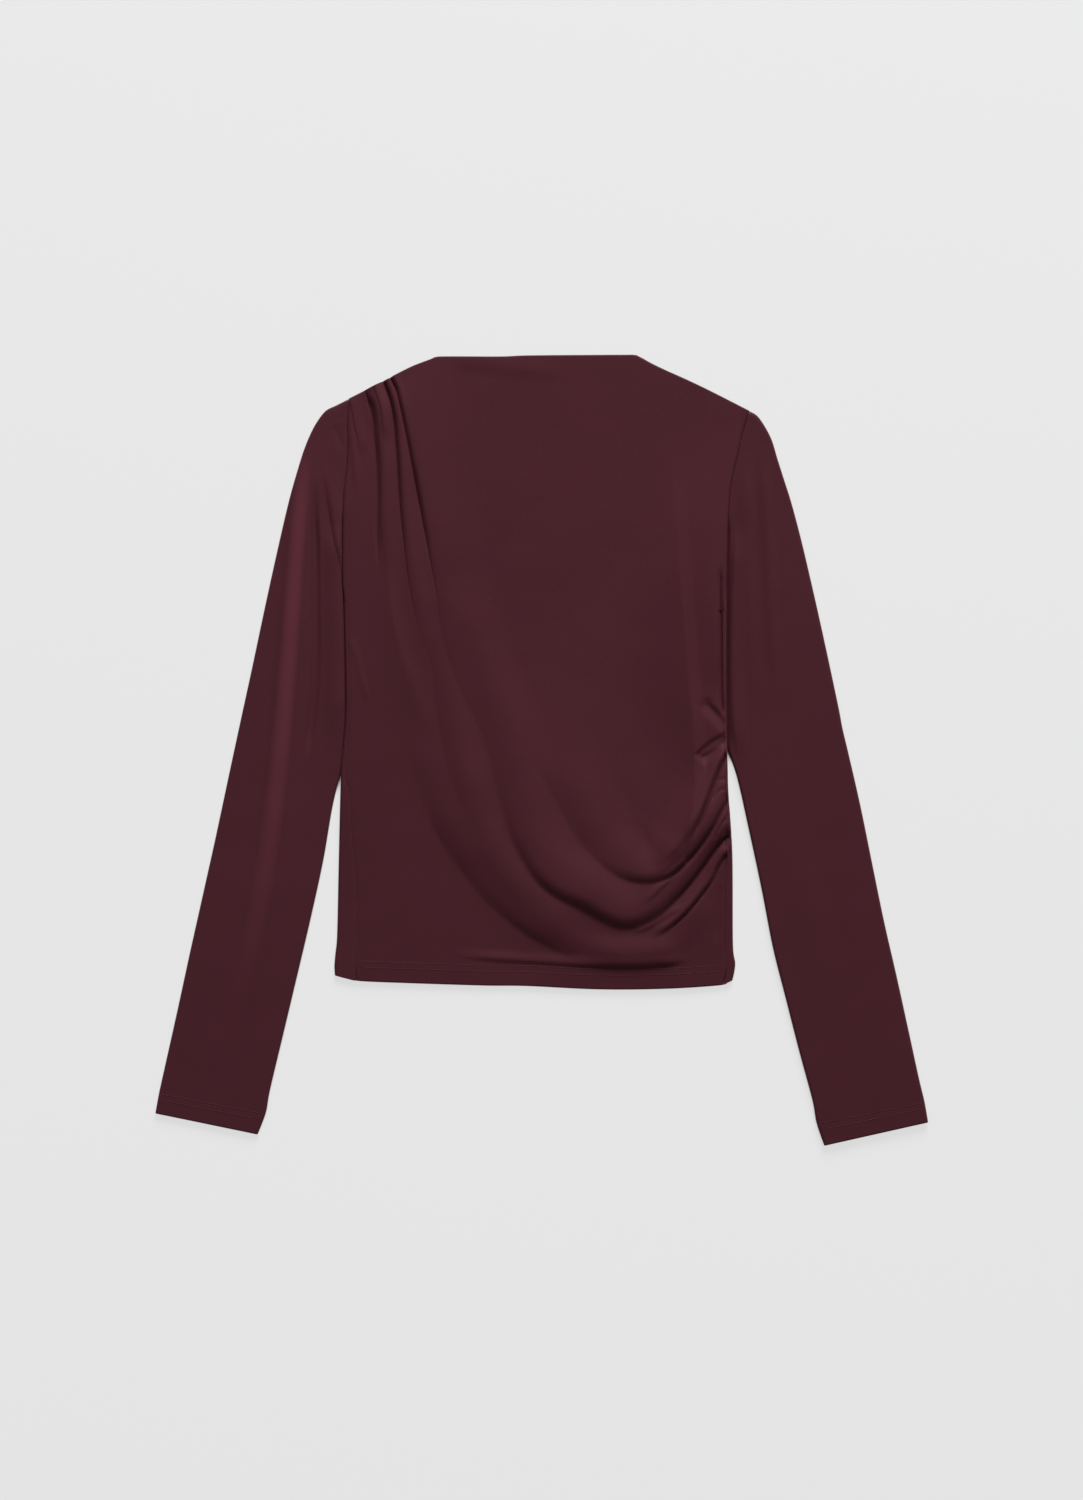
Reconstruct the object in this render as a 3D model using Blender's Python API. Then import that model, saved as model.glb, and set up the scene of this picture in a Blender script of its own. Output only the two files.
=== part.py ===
"""Long-sleeved draped jersey top, laid flat on its back.

X runs across the body, Y from hem to neck and Z up from the surface it lies on.
The tables are in millimetres and the model in metres. The origin is under the
middle of the whole top. Left and right in names are the wearer's.

A front and a back lie on each other, each one wall of cloth, and each sleeve is
a flattened tube. The front has pleats at one shoulder and gathers at the other
side seam, with the drape between them. The back's cloth comes round both sides.
"""

from collections import namedtuple

import bpy
import bmesh
import numpy as np
from mathutils.geometry import delaunay_2d_cdt

MM = 0.001
RIGHT = -1
LEFT = 1

# Cloth, and how far the body and the sleeves stand up where they have no folds
CLOTH = 1.0
GAP = 0.3
TWO_LAYERS = 2 * CLOTH + GAP
BODY_AIR = 1.3
SLEEVE_AIR = 0.7
BODY_SOFTNESS = 0.2
SLEEVE_SOFTNESS = 0.1

# Body: outline points, and the seams
NECK_AND_SHOULDERS = [(-173.5, 316), (-159, 323.5), (-141, 332.5), (-123, 340.5), (-94, 352), (-88, 354),
                      (-33, 354), (-6, 355), (78, 355.5), (86, 355), (102, 346.5), (138, 329.5),
                      (187, 305)]
RIGHT_EDGE = [(-173.5, 316), (-175, 299), (-174.5, 279), (-175, 256), (-178, 225), (-179, 165), (-177.5, 130),
              (-176, 63), (-176, 31), (-178, 4), (-180.5, -25), (-182.5, -99), (-184, -165),
              (-185.5, -182), (-186.5, -194), (-186, -202.5)]
LEFT_EDGE = [(187, 305), (181, 286), (176, 265), (171.5, 246), (168.5, 226), (166.5, 190), (165.5, 135),
             (165.5, 45), (167, -14), (167.5, -36), (169.5, -63), (171.5, -99), (172, -174), (174, -190),
             (173.5, -198), (171.5, -207)]
HEM = [(-186, -202.5), (-175, -205.5), (-164, -207.5), (-132, -209), (-55, -211.5), (-13, -212), (51, -215),
       (111, -214.5), (159, -211.5), (167, -209), (171.5, -207)]
HEM_DEPTH = 18.5
HEM_RISE = 0.4
HEM_SLOPE = 1.2

# The cloth turns over at each side below the underarm, which is this part of the way down
UNDERARM = 0.35
UNDERARM_FADE = (131, 150)
ROLL = 2.4
SIDE_TURN = (90, 45, 0, -45)

# How far in from the body's outline each side seam lies, down from the underarm
RIGHT_WRAP = [(140, 3), (-10, 3), (-36, 8), (-72, 11), (-118, 16), (-171, 18), (-210, 19.5)]
LEFT_WRAP = [(140, 3), (-30, 3), (-63, 4.5), (-108, 6.5), (-170, 7.5), (-215, 8)]

# Folds of the front. Each runs along its path, with side_a on the left of it and
# side_b on its right, and a negative height is a crease. A fade is the length over
# which it starts or ends.
Fold = namedtuple("Fold", "height side_a side_b fade_start fade_end path")

PLEATS = [
    Fold(1.0, 1.2, 8, 0, 15, [(-175, 325), (-172.5, 315), (-169, 293.5), (-166, 278), (-166, 263)]),
    Fold(1.6, 1.2, 9, 0, 25, [(-161, 330), (-157, 319), (-152.5, 301), (-149, 258), (-148.5, 205),
                              (-146, 157)]),
    Fold(0.9, 1.2, 5, 0, 12, [(-153.5, 332), (-150, 322), (-145.5, 309), (-143.5, 278)]),
    Fold(1.6, 1.4, 9, 0, 40, [(-146, 338), (-141, 327), (-136.5, 315), (-131, 275), (-128.5, 230),
                              (-125.5, 184), (-116.5, 135), (-108.5, 99), (-99.5, 76)]),
    Fold(1.6, 1.5, 10, 0, 40, [(-141, 343), (-131, 324), (-124, 288), (-114, 237), (-101.5, 172),
                               (-90.5, 117), (-85, 99)]),
]

DRAPES = [
    Fold(2.0, 14, 10, 60, 50, [(-141, 252), (-134.5, 171), (-130, 126), (-124, 85), (-113, 52),
                               (-102, 25), (-84, -40)]),
    Fold(5.2, 24, 22, 80, 40, [(-91, 99), (-80, 54), (-71, 9), (-60, -36), (-46, -76), (-30, -106),
                               (-6, -133), (21, -157), (52, -175), (84, -181), (111, -174), (133, -154)]),
    Fold(4.8, 26, 22, 120, 25, [(-69, 252), (-55, 153), (-44, 99), (-31, 54), (-16, 9), (1, -40),
                                (18, -81), (39, -109), (63, -133), (88, -142), (111, -132),
                                (131, -111), (148, -90), (162, -64)]),
    Fold(2.8, 9, 14, 60, 10, [(117, 288), (124, 243), (131, 189), (135, 135), (140, 90), (144, 45),
                              (148, 13)]),
    Fold(3.0, 7, 10, 8, 25, [(139, 0), (142, -14), (145, -31), (143, -52), (135, -72), (122, -88),
                             (104, -102)]),
    Fold(2.4, 25, 40, 50, 50, [(160, 70), (160, 0), (158, -60), (150, -110)]),
    Fold(1.0, 5, 6, 12, 12, [(-92, 353), (-40, 352), (0, 352), (84, 353)]),
    Fold(0.6, 4, 4, 10, 10, [(-174, 104), (-167, 85), (-161, 63), (-155, 42)]),
]

CREASES = [
    Fold(-5.0, 4, 10, 0, 55, [(170, -33), (165, -44), (160, -54), (152, -66), (142, -81), (134, -95),
                              (124, -104), (108, -115), (95, -120), (83, -120), (72, -113),
                              (61, -102), (50, -88), (39, -67), (18, -22)]),
    Fold(-5.4, 4.5, 11, 0, 90, [(170, -68), (164, -76), (157, -86), (149, -98), (137, -113), (122, -133),
                                (106, -146), (90, -157), (75, -161), (62, -158), (48, -150), (32, -138),
                                (16, -122), (3, -100), (-10, -73), (-25, -45), (-37, -18), (-58, 40),
                                (-75, 94)]),
    Fold(-2.0, 14, 12, 60, 20, [(-138, 135), (-133, 90), (-124, 45), (-113, 0), (-100, -40), (-84, -82),
                                (-62, -113), (-35, -145), (-10, -165), (13, -180), (36, -189)]),
    Fold(-2.6, 3, 5, 0, 18, [(168, -73), (162, -85), (158, -95), (153, -114), (141, -132), (128, -153),
                             (113, -167), (99, -173)]),
    Fold(-1.0, 2.5, 3, 10, 12, [(128, -141), (110, -154), (97, -162), (82, -167)]),
    Fold(-1.0, 2.5, 3, 10, 12, [(133, -100), (113, -119), (93, -140)]),
    Fold(-3.0, 2.5, 4, 0, 10, [(170, 3), (165, -6), (160, -14), (153, -38), (148, -53), (141, -67),
                               (133, -79)]),
    Fold(-2.4, 3, 3, 0, 4, [(171, 17), (164, 13), (153, 5), (145, -1), (136, -5)]),
    Fold(-1.4, 3, 3, 3, 0, [(148, 45), (156, 35), (162, 30), (170, 25)]),
    Fold(-1.0, 2, 2, 0, 5, [(169, -57), (163, -64), (157, -73), (153, -80)]),
    Fold(-0.7, 1.6, 1.6, 0, 4, [(171, -25), (165, -27), (157, -29)]),
    Fold(-0.9, 1.6, 1.6, 0, 4, [(171, -33), (165, -36), (156, -39), (150, -48)]),
    Fold(-0.8, 4, 4, 15, 15, [(161, -124), (158, -147), (156, -175)]),
    Fold(-0.8, 3, 3, 25, 20, [(-87, -185), (-48, -189), (15, -194), (36, -196), (75, -195), (113, -192)]),
    Fold(-0.8, 6, 6, 15, 20, [(-81, 347), (-54, 342), (-32, 338), (0, 334), (30, 333)]),
    Fold(-0.6, 3, 3, 0, 15, [(-173, 279), (-170.5, 256), (-170, 229)]),
]

RIGHT_SLEEVE_FOLDS = [
    Fold(1.6, 9, 7, 30, 60, [(-211, 283), (-217, 220), (-222, 154), (-227, 83), (-234, -2), (-244, -83),
                             (-256, -145), (-269, -202), (-285, -265), (-296, -301)]),
    Fold(-0.6, 8, 8, 40, 60, [(-203, 265), (-204, 225), (-204, 99), (-206, 54), (-210, 9), (-215, -36),
                              (-215, -90)]),
    Fold(-0.6, 6, 6, 20, 10, [(-198, 262), (-193, 237), (-188, 189), (-181, 156)]),
]

LEFT_SLEEVE_FOLDS = [
    Fold(0.7, 8, 7, 40, 80, [(186, 270), (188, 220), (189, 160), (190, 90), (193, 20)]),
    Fold(0.7, 8, 8, 40, 80, [(203, 275), (206, 220), (207, 160), (210, 90), (216, 20)]),
    Fold(0.5, 14, 14, 60, 60, [(228, -60), (245, -130), (256, -190), (262, -240)]),
]

# Sleeves: a row for each section, from the armhole to the cuff. The first point is
# on the outer fold, the second on the underarm seam, and bow is how much of the
# armhole's own curve the section still has.
Section = namedtuple("Section", "outer_x outer_y seam_x seam_y bow")

RIGHT_SLEEVE = [
    Section(-174, 315.5, -152.5, 130, 1.0),
    Section(-185, 310, -151.5, 124.5, 0.93),
    Section(-194, 305.5, -150, 119, 0.85),
    Section(-201, 297, -149.5, 113.5, 0.75),
    Section(-207, 286.5, -149, 108, 0.64),
    Section(-213.5, 271, -149, 103, 0.52),
    Section(-219.5, 252, -149, 97, 0.38),
    Section(-227.5, 223.5, -150, 90, 0.2),
    Section(-238, 178.5, -153.5, 77.5, 0.06),
    Section(-249.5, 126, -159, 56, 0),
    Section(-260.5, 74, -166, 31, 0),
    Section(-271.5, 23.5, -174.5, 0, 0),
    Section(-281.5, -23, -187, -45, 0),
    Section(-293, -77, -196.5, -99, 0),
    Section(-305, -131, -208, -152, 0),
    Section(-316.5, -182.5, -220, -203, 0),
    Section(-328, -235.5, -232.5, -255.5, 0),
    Section(-339.5, -287, -244.5, -306, 0),
    Section(-344, -307.5, -248, -325.5, 0),
    Section(-347.5, -326.5, -255.5, -345.5, 0),
]

LEFT_SLEEVE = [
    Section(187.4, 304.6, 140, 138, 1.0),
    Section(194, 300.5, 139.5, 132.5, 0.93),
    Section(201, 290.5, 140, 127, 0.85),
    Section(207, 278.5, 140.5, 121.5, 0.75),
    Section(212, 262, 142, 116.5, 0.64),
    Section(218, 243, 143.5, 111, 0.52),
    Section(224.5, 222.5, 145, 104.5, 0.38),
    Section(233.5, 188.5, 148.5, 92, 0.2),
    Section(243.5, 146, 152.5, 74, 0.06),
    Section(254, 99, 157.5, 54, 0),
    Section(266.5, 40.5, 166.5, 20, 0),
    Section(275.5, -1.5, 176.5, -24, 0),
    Section(286.5, -49.5, 186.5, -72.5, 0),
    Section(297.5, -103.5, 198, -126.5, 0),
    Section(308, -154.5, 208, -178, 0),
    Section(319, -202.5, 220, -225.5, 0),
    Section(329, -248, 231.5, -270.5, 0),
    Section(339, -294, 243.5, -315, 0),
    Section(344, -315, 247, -334.5, 0),
    Section(347.5, -334.5, 254, -355.5, 0),
]
CUFF_RISE = 0.4

# Each armhole seam follows the body's edge down to SEAM_ENDS, then goes in under it
SEAM_ENDS = {RIGHT: 199, LEFT: 193}
SEAM_BELOW = {RIGHT: [(-175, 170), (-166, 147), (-152.5, 130)], LEFT: [(162.5, 170), (152, 151),
(140, 138)]}
SEAM_GAP = 0.36

# A sleeve lies flat under the body, and its folds start beside it
FLAT_START = 20
FLAT_LENGTH = 250
FLAT_FADE = 40
FOLDS_START = (1, 9)

# How the body rises over the part of each sleeve that lies under it
LIFT = TWO_LAYERS + 0.4
LIFT_RAMP = 45
LIFT_MARGIN = 4
LIFT_STARTS = {RIGHT: 201, LEFT: 195}
LIFT_ENDS = {RIGHT: -30, LEFT: 18}
FRONT_LIFT = 1.15

# Spacing of the points
BODY_ROWS = 38
ROW_BEND = 60
BACK_SIDE = 90
BACK_SIDE_COLUMNS = 7
BACK_MIDDLE_COLUMNS = 4
NECK_COLUMNS = 33
HEM_COLUMNS = 31
FRONT_SPACING = 13
RAIL_SPACING = 10.5
CLEAR_OF_POINTS = 1.0
CLEAR_OF_OUTLINE = 5.85
CLEAR_OF_RAILS = 7.15
ARMHOLE_POINTS = 12
SLEEVE_COLUMNS = 10
SHARP_ANGLE = 50


def step(low, high, value):
    """0 below low, 1 above high and smooth between."""
    t = np.clip((np.asarray(value, float) - low) / (high - low), 0, 1)
    return t * t * (3 - 2 * t)


def smooth_curve(points, spacing):
    """Points about `spacing` apart on a smooth curve through the given ones."""
    p = np.array(points, float)
    p = np.vstack([2 * p[0] - p[1], p, 2 * p[-1] - p[-2]])
    out = []
    for a, b, c, d in zip(p[:-3], p[1:-2], p[2:-1], p[3:]):
        count = max(2, int(np.linalg.norm(c - b) / spacing) + 1)
        for t in np.arange(count) / count:
            out.append(0.5 * (2 * b + (c - a) * t + (2 * a - 5 * b + 4 * c - d) * t**2
                              + (3 * b - a - 3 * c + d) * t**3))
    out.append(p[-2])
    return np.array(out)


def even_spacing(curve, spacing):
    """The same curve with its points evenly spaced, and the direction at each."""
    lengths = np.concatenate([[0], np.cumsum(np.linalg.norm(np.diff(curve, axis=0), axis=1))])
    at = np.linspace(0, lengths[-1], max(2, round(lengths[-1] / spacing)) + 1)
    points = np.column_stack([np.interp(at, lengths, curve[:, k]) for k in (0, 1)])
    ahead = np.gradient(points, axis=0)
    return points, ahead / np.linalg.norm(ahead, axis=1)[:, None]


def table(points, value, result):
    """A lookup along a smooth outline: column `result` for a given column `value`."""
    curve = smooth_curve(points, 3)
    order = np.argsort(curve[:, value])
    curve = curve[order]
    return lambda v: np.interp(v, curve[:, value], curve[:, result])


top_y = table(NECK_AND_SHOULDERS, 0, 1)
hem_y = table(HEM, 0, 1)
edge_x = {RIGHT: table(RIGHT_EDGE, 1, 0), LEFT: table(LEFT_EDGE, 1, 0)}
wrap_width = {RIGHT: table(RIGHT_WRAP, 0, 1), LEFT: table(LEFT_WRAP, 0, 1)}


def fold_height(folds, x, y):
    """Sum of the folds' heights at each point."""
    total = np.zeros_like(x)
    for fold in folds:
        path, _ = even_spacing(smooth_curve(fold.path, 4), 4)
        start, ahead = path[:-1], np.diff(path, axis=0)
        length = np.linalg.norm(ahead, axis=1)
        away_x = x[:, None] - start[:, 0]
        away_y = y[:, None] - start[:, 1]
        along = np.clip((away_x * ahead[:, 0] + away_y * ahead[:, 1]) / length**2, 0, 1)
        off_x = away_x - along * ahead[:, 0]
        off_y = away_y - along * ahead[:, 1]
        nearest = np.argmin(off_x**2 + off_y**2, axis=1)
        pick = (np.arange(len(x)), nearest)
        distance = np.hypot(off_x[pick], off_y[pick])
        on_a = ahead[nearest, 0] * off_y[pick] - ahead[nearest, 1] * off_x[pick] > 0
        width = np.where(on_a, fold.side_a, fold.side_b)
        shape = 0.5 + 0.5 * np.cos(np.pi * np.minimum(distance / width, 1))
        run = np.concatenate([[0], np.cumsum(length)])
        place = run[nearest] + along[pick] * length[nearest]
        if fold.fade_start:
            shape *= step(0, fold.fade_start, place)
        if fold.fade_end:
            shape *= step(0, fold.fade_end, run[-1] - place)
        total += fold.height * shape
    return total


def hidden_reach(side, y):
    """How far a sleeve reaches in under the body's outline at height y."""
    sections = RIGHT_SLEEVE if side == RIGHT else LEFT_SLEEVE
    line = np.array(SEAM_BELOW[side] + [(s.seam_x, s.seam_y) for s in sections[1:]])
    order = np.argsort(line[:, 1])
    inner = np.interp(y, line[order, 1], line[order, 0])
    return np.maximum(0, (edge_x[side](y) - inner) * side)


def lift(x, y):
    """Height of the back's underside, which lies on the floor and on the sleeves' hidden edges."""
    total = np.zeros_like(x)
    for side in (RIGHT, LEFT):
        past_sleeve = (edge_x[side](y) - x) * side - hidden_reach(side, y) - LIFT_MARGIN
        above = 1 - step(LIFT_STARTS[side], LIFT_STARTS[side] + LIFT_RAMP, y)
        below = step(LIFT_ENDS[side] - LIFT_RAMP, LIFT_ENDS[side], y)
        total += LIFT * above * below * (1 - step(0, LIFT_RAMP, past_sleeve))
    return total


def above_nothing(height, softness):
    """The height, kept over 0 with a soft turn."""
    return 0.5 * (height + np.sqrt(height**2 + softness))


def body_relief(x, y):
    """Height of the front's folds over two flat layers."""
    relief = above_nothing(BODY_AIR + fold_height(PLEATS + DRAPES + CREASES, x, y), BODY_SOFTNESS)
    return relief + HEM_RISE * (1 - step(HEM_DEPTH - HEM_SLOPE, HEM_DEPTH, y - hem_y(x)))


def body_top(x, y):
    """The body's outer surface, rolled over at each side below the underarm."""
    right = edge_x[RIGHT](y)
    left = edge_x[LEFT](y)
    height = TWO_LAYERS + body_relief(np.clip(x, right + ROLL, left - ROLL), y)
    inward = np.clip(np.minimum(x - right, left - x), 0, ROLL)
    round_off = 0.5 + 0.5 * np.sqrt(1 - (1 - inward / ROLL) ** 2)
    rolled = 1 - step(*UNDERARM_FADE, y)
    return FRONT_LIFT * lift(x, y) + height * (1 - rolled * (1 - round_off))


def wall(name, outer, inner, faces, material):
    """A closed wall of cloth between two surfaces with the same faces."""
    mesh = bpy.data.meshes.new(name)
    bm = bmesh.new()
    outside = [bm.verts.new(p * MM) for p in outer]
    inside = [bm.verts.new(p * MM) for p in inner]
    edges = {}
    for face in faces:
        bm.faces.new([outside[i] for i in face])
        bm.faces.new([inside[i] for i in reversed(face)])
        for a, b in zip(face, list(face[1:]) + [face[0]]):
            edges[(a, b)] = True
    for a, b in edges:
        if (b, a) not in edges:
            bm.faces.new([outside[b], outside[a], inside[a], inside[b]])
    bmesh.ops.delete(bm, geom=[v for v in bm.verts if not v.link_faces], context="VERTS")
    bmesh.ops.triangulate(bm, faces=bm.faces)
    bm.to_mesh(mesh)
    bm.free()
    mesh.shade_smooth()
    mesh.set_sharp_from_angle(angle=np.radians(SHARP_ANGLE))
    piece = bpy.data.objects.new(name, mesh)
    piece.data.materials.append(material)
    bpy.context.collection.objects.link(piece)
    return piece


def body_rows():
    """Rows of points down the body: how far down, and Y where each meets the side edges."""
    down = np.linspace(0, 1, BODY_ROWS + 1)
    down[np.argmin(abs(down - UNDERARM))] = UNDERARM
    right = RIGHT_EDGE[0][1] + down * (RIGHT_EDGE[-1][1] - RIGHT_EDGE[0][1])
    left = LEFT_EDGE[0][1] + down * (LEFT_EDGE[-1][1] - LEFT_EDGE[0][1])
    return down, {RIGHT: right, LEFT: left}


def bent_row(y, x, edge):
    """Y at x on a row that starts level at the body's edge and bends with the hem near it."""
    near_hem = 1 - step(0, ROW_BEND, y - hem_y(edge))
    return y + near_hem * (hem_y(x) - hem_y(edge))


def side_strip(side, y):
    """The back's cloth where it comes round a side, from the seam to the underside, at one row."""
    edge = edge_x[side](y)
    wrap = wrap_width[side](y)
    outer, inner = [], []
    for inward in (wrap, 0.5 * (wrap + ROLL)):
        x = edge - side * inward
        at = bent_row(y, x, edge)
        z = body_top(np.array([x]), np.array([at]))[0]
        outer.append((x, at, z))
        inner.append((x, at, z - CLOTH))
    at_roll = np.array([edge - side * ROLL])
    floor = lift(at_roll, np.array([y]))[0]
    half = 0.5 * (body_top(at_roll, np.array([y]))[0] - floor)
    for angle in np.radians(SIDE_TURN):
        x = edge - side * ROLL * (1 - np.cos(angle))
        outer.append((x, bent_row(y, x, edge), floor + half + half * np.sin(angle)))
        x = edge - side * (CLOTH + (ROLL - CLOTH) * (1 - np.cos(angle)))
        inner.append((x, bent_row(y, x, edge), floor + half + (half - CLOTH) * np.sin(angle)))
    return outer, inner


def make_back(material):
    """One wall: the underside, and at each side the cloth that comes round to the seam."""
    rows, side_y = body_rows()
    side = BACK_SIDE / (LEFT_EDGE[0][0] - RIGHT_EDGE[0][0])
    across = np.concatenate([np.linspace(0, side, BACK_SIDE_COLUMNS + 1)[:-1],
                             np.linspace(side, 1 - side, BACK_MIDDLE_COLUMNS + 1),
                             np.linspace(1 - side, 1, BACK_SIDE_COLUMNS + 1)[1:]])
    x_top = RIGHT_EDGE[0][0] + across * (LEFT_EDGE[0][0] - RIGHT_EDGE[0][0])
    x_hem = RIGHT_EDGE[-1][0] + across * (LEFT_EDGE[-1][0] - RIGHT_EDGE[-1][0])
    outer, inner, index = [], [], []
    for down, right_y, left_y in zip(rows, side_y[RIGHT], side_y[LEFT]):
        rolled = down >= UNDERARM
        inset = ROLL if rolled else 0
        x = (edge_x[RIGHT](right_y) + inset) * (1 - across) + (edge_x[LEFT](left_y) - inset) * across
        y = (1 - down) * top_y(x_top) + down * hem_y(x_hem)
        floor = lift(x, y)
        row_outer = list(zip(x, y, floor))
        row_inner = list(zip(x, y, floor + CLOTH))
        extra = 0
        if rolled:
            right_outer, right_inner = side_strip(RIGHT, right_y)
            left_outer, left_inner = side_strip(LEFT, left_y)
            extra = len(right_outer)
            row_outer = right_outer + row_outer + left_outer[::-1]
            row_inner = right_inner + row_inner + left_inner[::-1]
        start = len(outer)
        index.append({k - extra: start + k for k in range(len(row_outer))})
        outer += row_outer
        inner += row_inner
    faces = []
    for upper, lower in zip(index[:-1], index[1:]):
        for k in upper:
            if k + 1 in upper and k in lower and k + 1 in lower:
                faces.append((upper[k], upper[k + 1], lower[k + 1], lower[k]))
    return wall("back", np.array(outer), np.array(inner), faces, material)


def front_outline():
    """The front's edge: neck and shoulders, the left side down, the hem, and the right side up."""
    rows, side_y = body_rows()
    lines = {}
    for side in (RIGHT, LEFT):
        edge, wrap = edge_x[side], wrap_width[side]
        line = [(edge(y), y) for y in side_y[side][rows < UNDERARM]]
        first = side_y[side][rows >= UNDERARM][0]
        line.append((edge(first + GAP), first + GAP))
        line.append((edge(first) - side * (wrap(first) + GAP), first + GAP))
        for y in side_y[side][rows > UNDERARM]:
            x = edge(y) - side * (wrap(y) + GAP)
            line.append((x, bent_row(y, x, edge(y))))
        lines[side] = line
    x_top = np.linspace(RIGHT_EDGE[0][0], LEFT_EDGE[0][0], NECK_COLUMNS + 1)
    x_hem = np.linspace(lines[LEFT][-1][0], lines[RIGHT][-1][0], HEM_COLUMNS + 1)[1:-1]
    neck = list(zip(x_top, top_y(x_top)))
    hem = list(zip(x_hem, hem_y(x_hem)))
    return np.array(neck + lines[LEFT][1:] + hem + lines[RIGHT][:0:-1])


def fold_rails():
    """Lines of points along each narrow fold: its crest or crease, and its foot on each side."""
    rails = []
    for fold in PLEATS + CREASES + DRAPES:
        if min(fold.side_a, fold.side_b) > FRONT_SPACING:
            continue
        curve = smooth_curve(fold.path, 3)
        length = np.sum(np.linalg.norm(np.diff(curve, axis=0), axis=1))
        path, ahead = even_spacing(curve, min(RAIL_SPACING, length / 4))
        side = np.column_stack([-ahead[:, 1], ahead[:, 0]])
        rails.append(path)
        if fold.side_a < FRONT_SPACING:
            rails.append(path + side * fold.side_a)
        if fold.side_b < FRONT_SPACING:
            rails.append(path - side * fold.side_b)
    x = np.linspace(RIGHT_EDGE[-1][0], LEFT_EDGE[-1][0], HEM_COLUMNS)
    rails.append(np.column_stack([x, hem_y(x) + HEM_DEPTH]))
    rails.append(np.column_stack([x, hem_y(x) + HEM_DEPTH - HEM_SLOPE]))
    return rails


def inside(outline, points):
    """Which points lie inside a closed outline."""
    a, b = outline, np.roll(outline, -1, axis=0)
    x, y = points[:, :1], points[:, 1:]
    crosses = (a[:, 1] > y) != (b[:, 1] > y)
    rise = np.where(b[:, 1] == a[:, 1], 1, b[:, 1] - a[:, 1])
    at = a[:, 0] + (y - a[:, 1]) * (b[:, 0] - a[:, 0]) / rise
    return np.sum(crosses & (x < at), axis=1) % 2 == 1


def distance_to(outline, points):
    """Distance from each point to a closed outline."""
    a, b = outline, np.roll(outline, -1, axis=0)
    ahead = b - a
    away = points[:, None] - a
    along = np.clip(np.sum(away * ahead, axis=2) / np.sum(ahead**2, axis=1), 0, 1)
    return np.linalg.norm(away - along[:, :, None] * ahead, axis=2).min(axis=1)


def join_rails(outline):
    """The outline's points and those of the rails inside it, and the edges that join them."""
    fixed = [tuple(p) for p in outline]
    edges = []
    for rail in fold_rails():
        rail = rail[inside(outline, rail)]
        if len(rail):
            rail = rail[distance_to(outline, rail) > CLEAR_OF_POINTS]
        last = None
        for point in rail:
            away = np.linalg.norm(np.array(fixed) - point, axis=1)
            this = int(np.argmin(away))
            if away[this] > CLEAR_OF_POINTS:
                this = len(fixed)
                fixed.append(tuple(point))
            if last is not None and this != last:
                if np.linalg.norm(np.subtract(fixed[this], fixed[last])) < FRONT_SPACING:
                    edges.append((last, this))
            last = this
    return np.array(fixed), edges


def make_front(material):
    """One wall whose points lie along its folds and evenly between them."""
    outline = front_outline()
    fixed, edges = join_rails(outline)
    x = np.arange(outline[:, 0].min(), outline[:, 0].max(), FRONT_SPACING)
    y = np.arange(outline[:, 1].min(), outline[:, 1].max(), FRONT_SPACING * np.sqrt(0.75))
    field = np.array([(a + FRONT_SPACING / 2 * (k % 2), b) for k, b in enumerate(y) for a in x])
    field = field[inside(outline, field)]
    field = field[distance_to(outline, field) > CLEAR_OF_OUTLINE]
    near = np.linalg.norm(field[:, None] - fixed, axis=2).min(axis=1)
    field = field[near > CLEAR_OF_RAILS]
    points = np.vstack([fixed, field])
    ring = list(range(len(outline)))
    found = delaunay_2d_cdt([tuple(p) for p in points], edges, [ring], 1, 1e-4)
    flat = np.array([tuple(p) for p in found[0]])
    faces = [list(f) for f in found[2]]
    for face in faces:
        (ax, ay), (bx, by), (cx, cy) = flat[face]
        if (bx - ax) * (cy - ay) < (by - ay) * (cx - ax):
            face.reverse()
    x, y = flat[:, 0], flat[:, 1]
    top = body_top(x, y)
    pleats = np.maximum(0, fold_height(PLEATS, x, y))
    under = np.maximum(top - CLOTH - pleats, FRONT_LIFT * lift(x, y) + CLOTH + GAP)
    outer = np.column_stack([x, y, np.maximum(top, under + CLOTH)])
    inner = np.column_stack([x, y, under])
    return wall("front", outer, inner, faces, material)


def armhole(side, sections):
    """The armhole seam's curve: down the body's edge, then in under it to the underarm."""
    down = np.linspace(sections[0].outer_y, SEAM_ENDS[side], ARMHOLE_POINTS)
    seam = [(edge_x[side](y) + side * SEAM_GAP, y) for y in down]
    curve, _ = even_spacing(smooth_curve(seam + SEAM_BELOW[side], 4), 4)
    lengths = np.concatenate([[0], np.cumsum(np.linalg.norm(np.diff(curve, axis=0), axis=1))])
    return curve, lengths / lengths[-1]


def sleeve_height(side, folds, x, y):
    """Height of a sleeve's outer surface, flat where it goes in under the body."""
    relief = above_nothing(SLEEVE_AIR + fold_height(folds, x, y), SLEEVE_SOFTNESS)
    beside = step(*FOLDS_START, (x - edge_x[side](y)) * side)
    top = SEAM_ENDS[side]
    bottom = top - FLAT_LENGTH
    covered = (1 - step(top, top + FLAT_START, y)) * step(bottom - FLAT_FADE, bottom, y)
    return TWO_LAYERS + relief * (1 - covered * (1 - beside))


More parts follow.
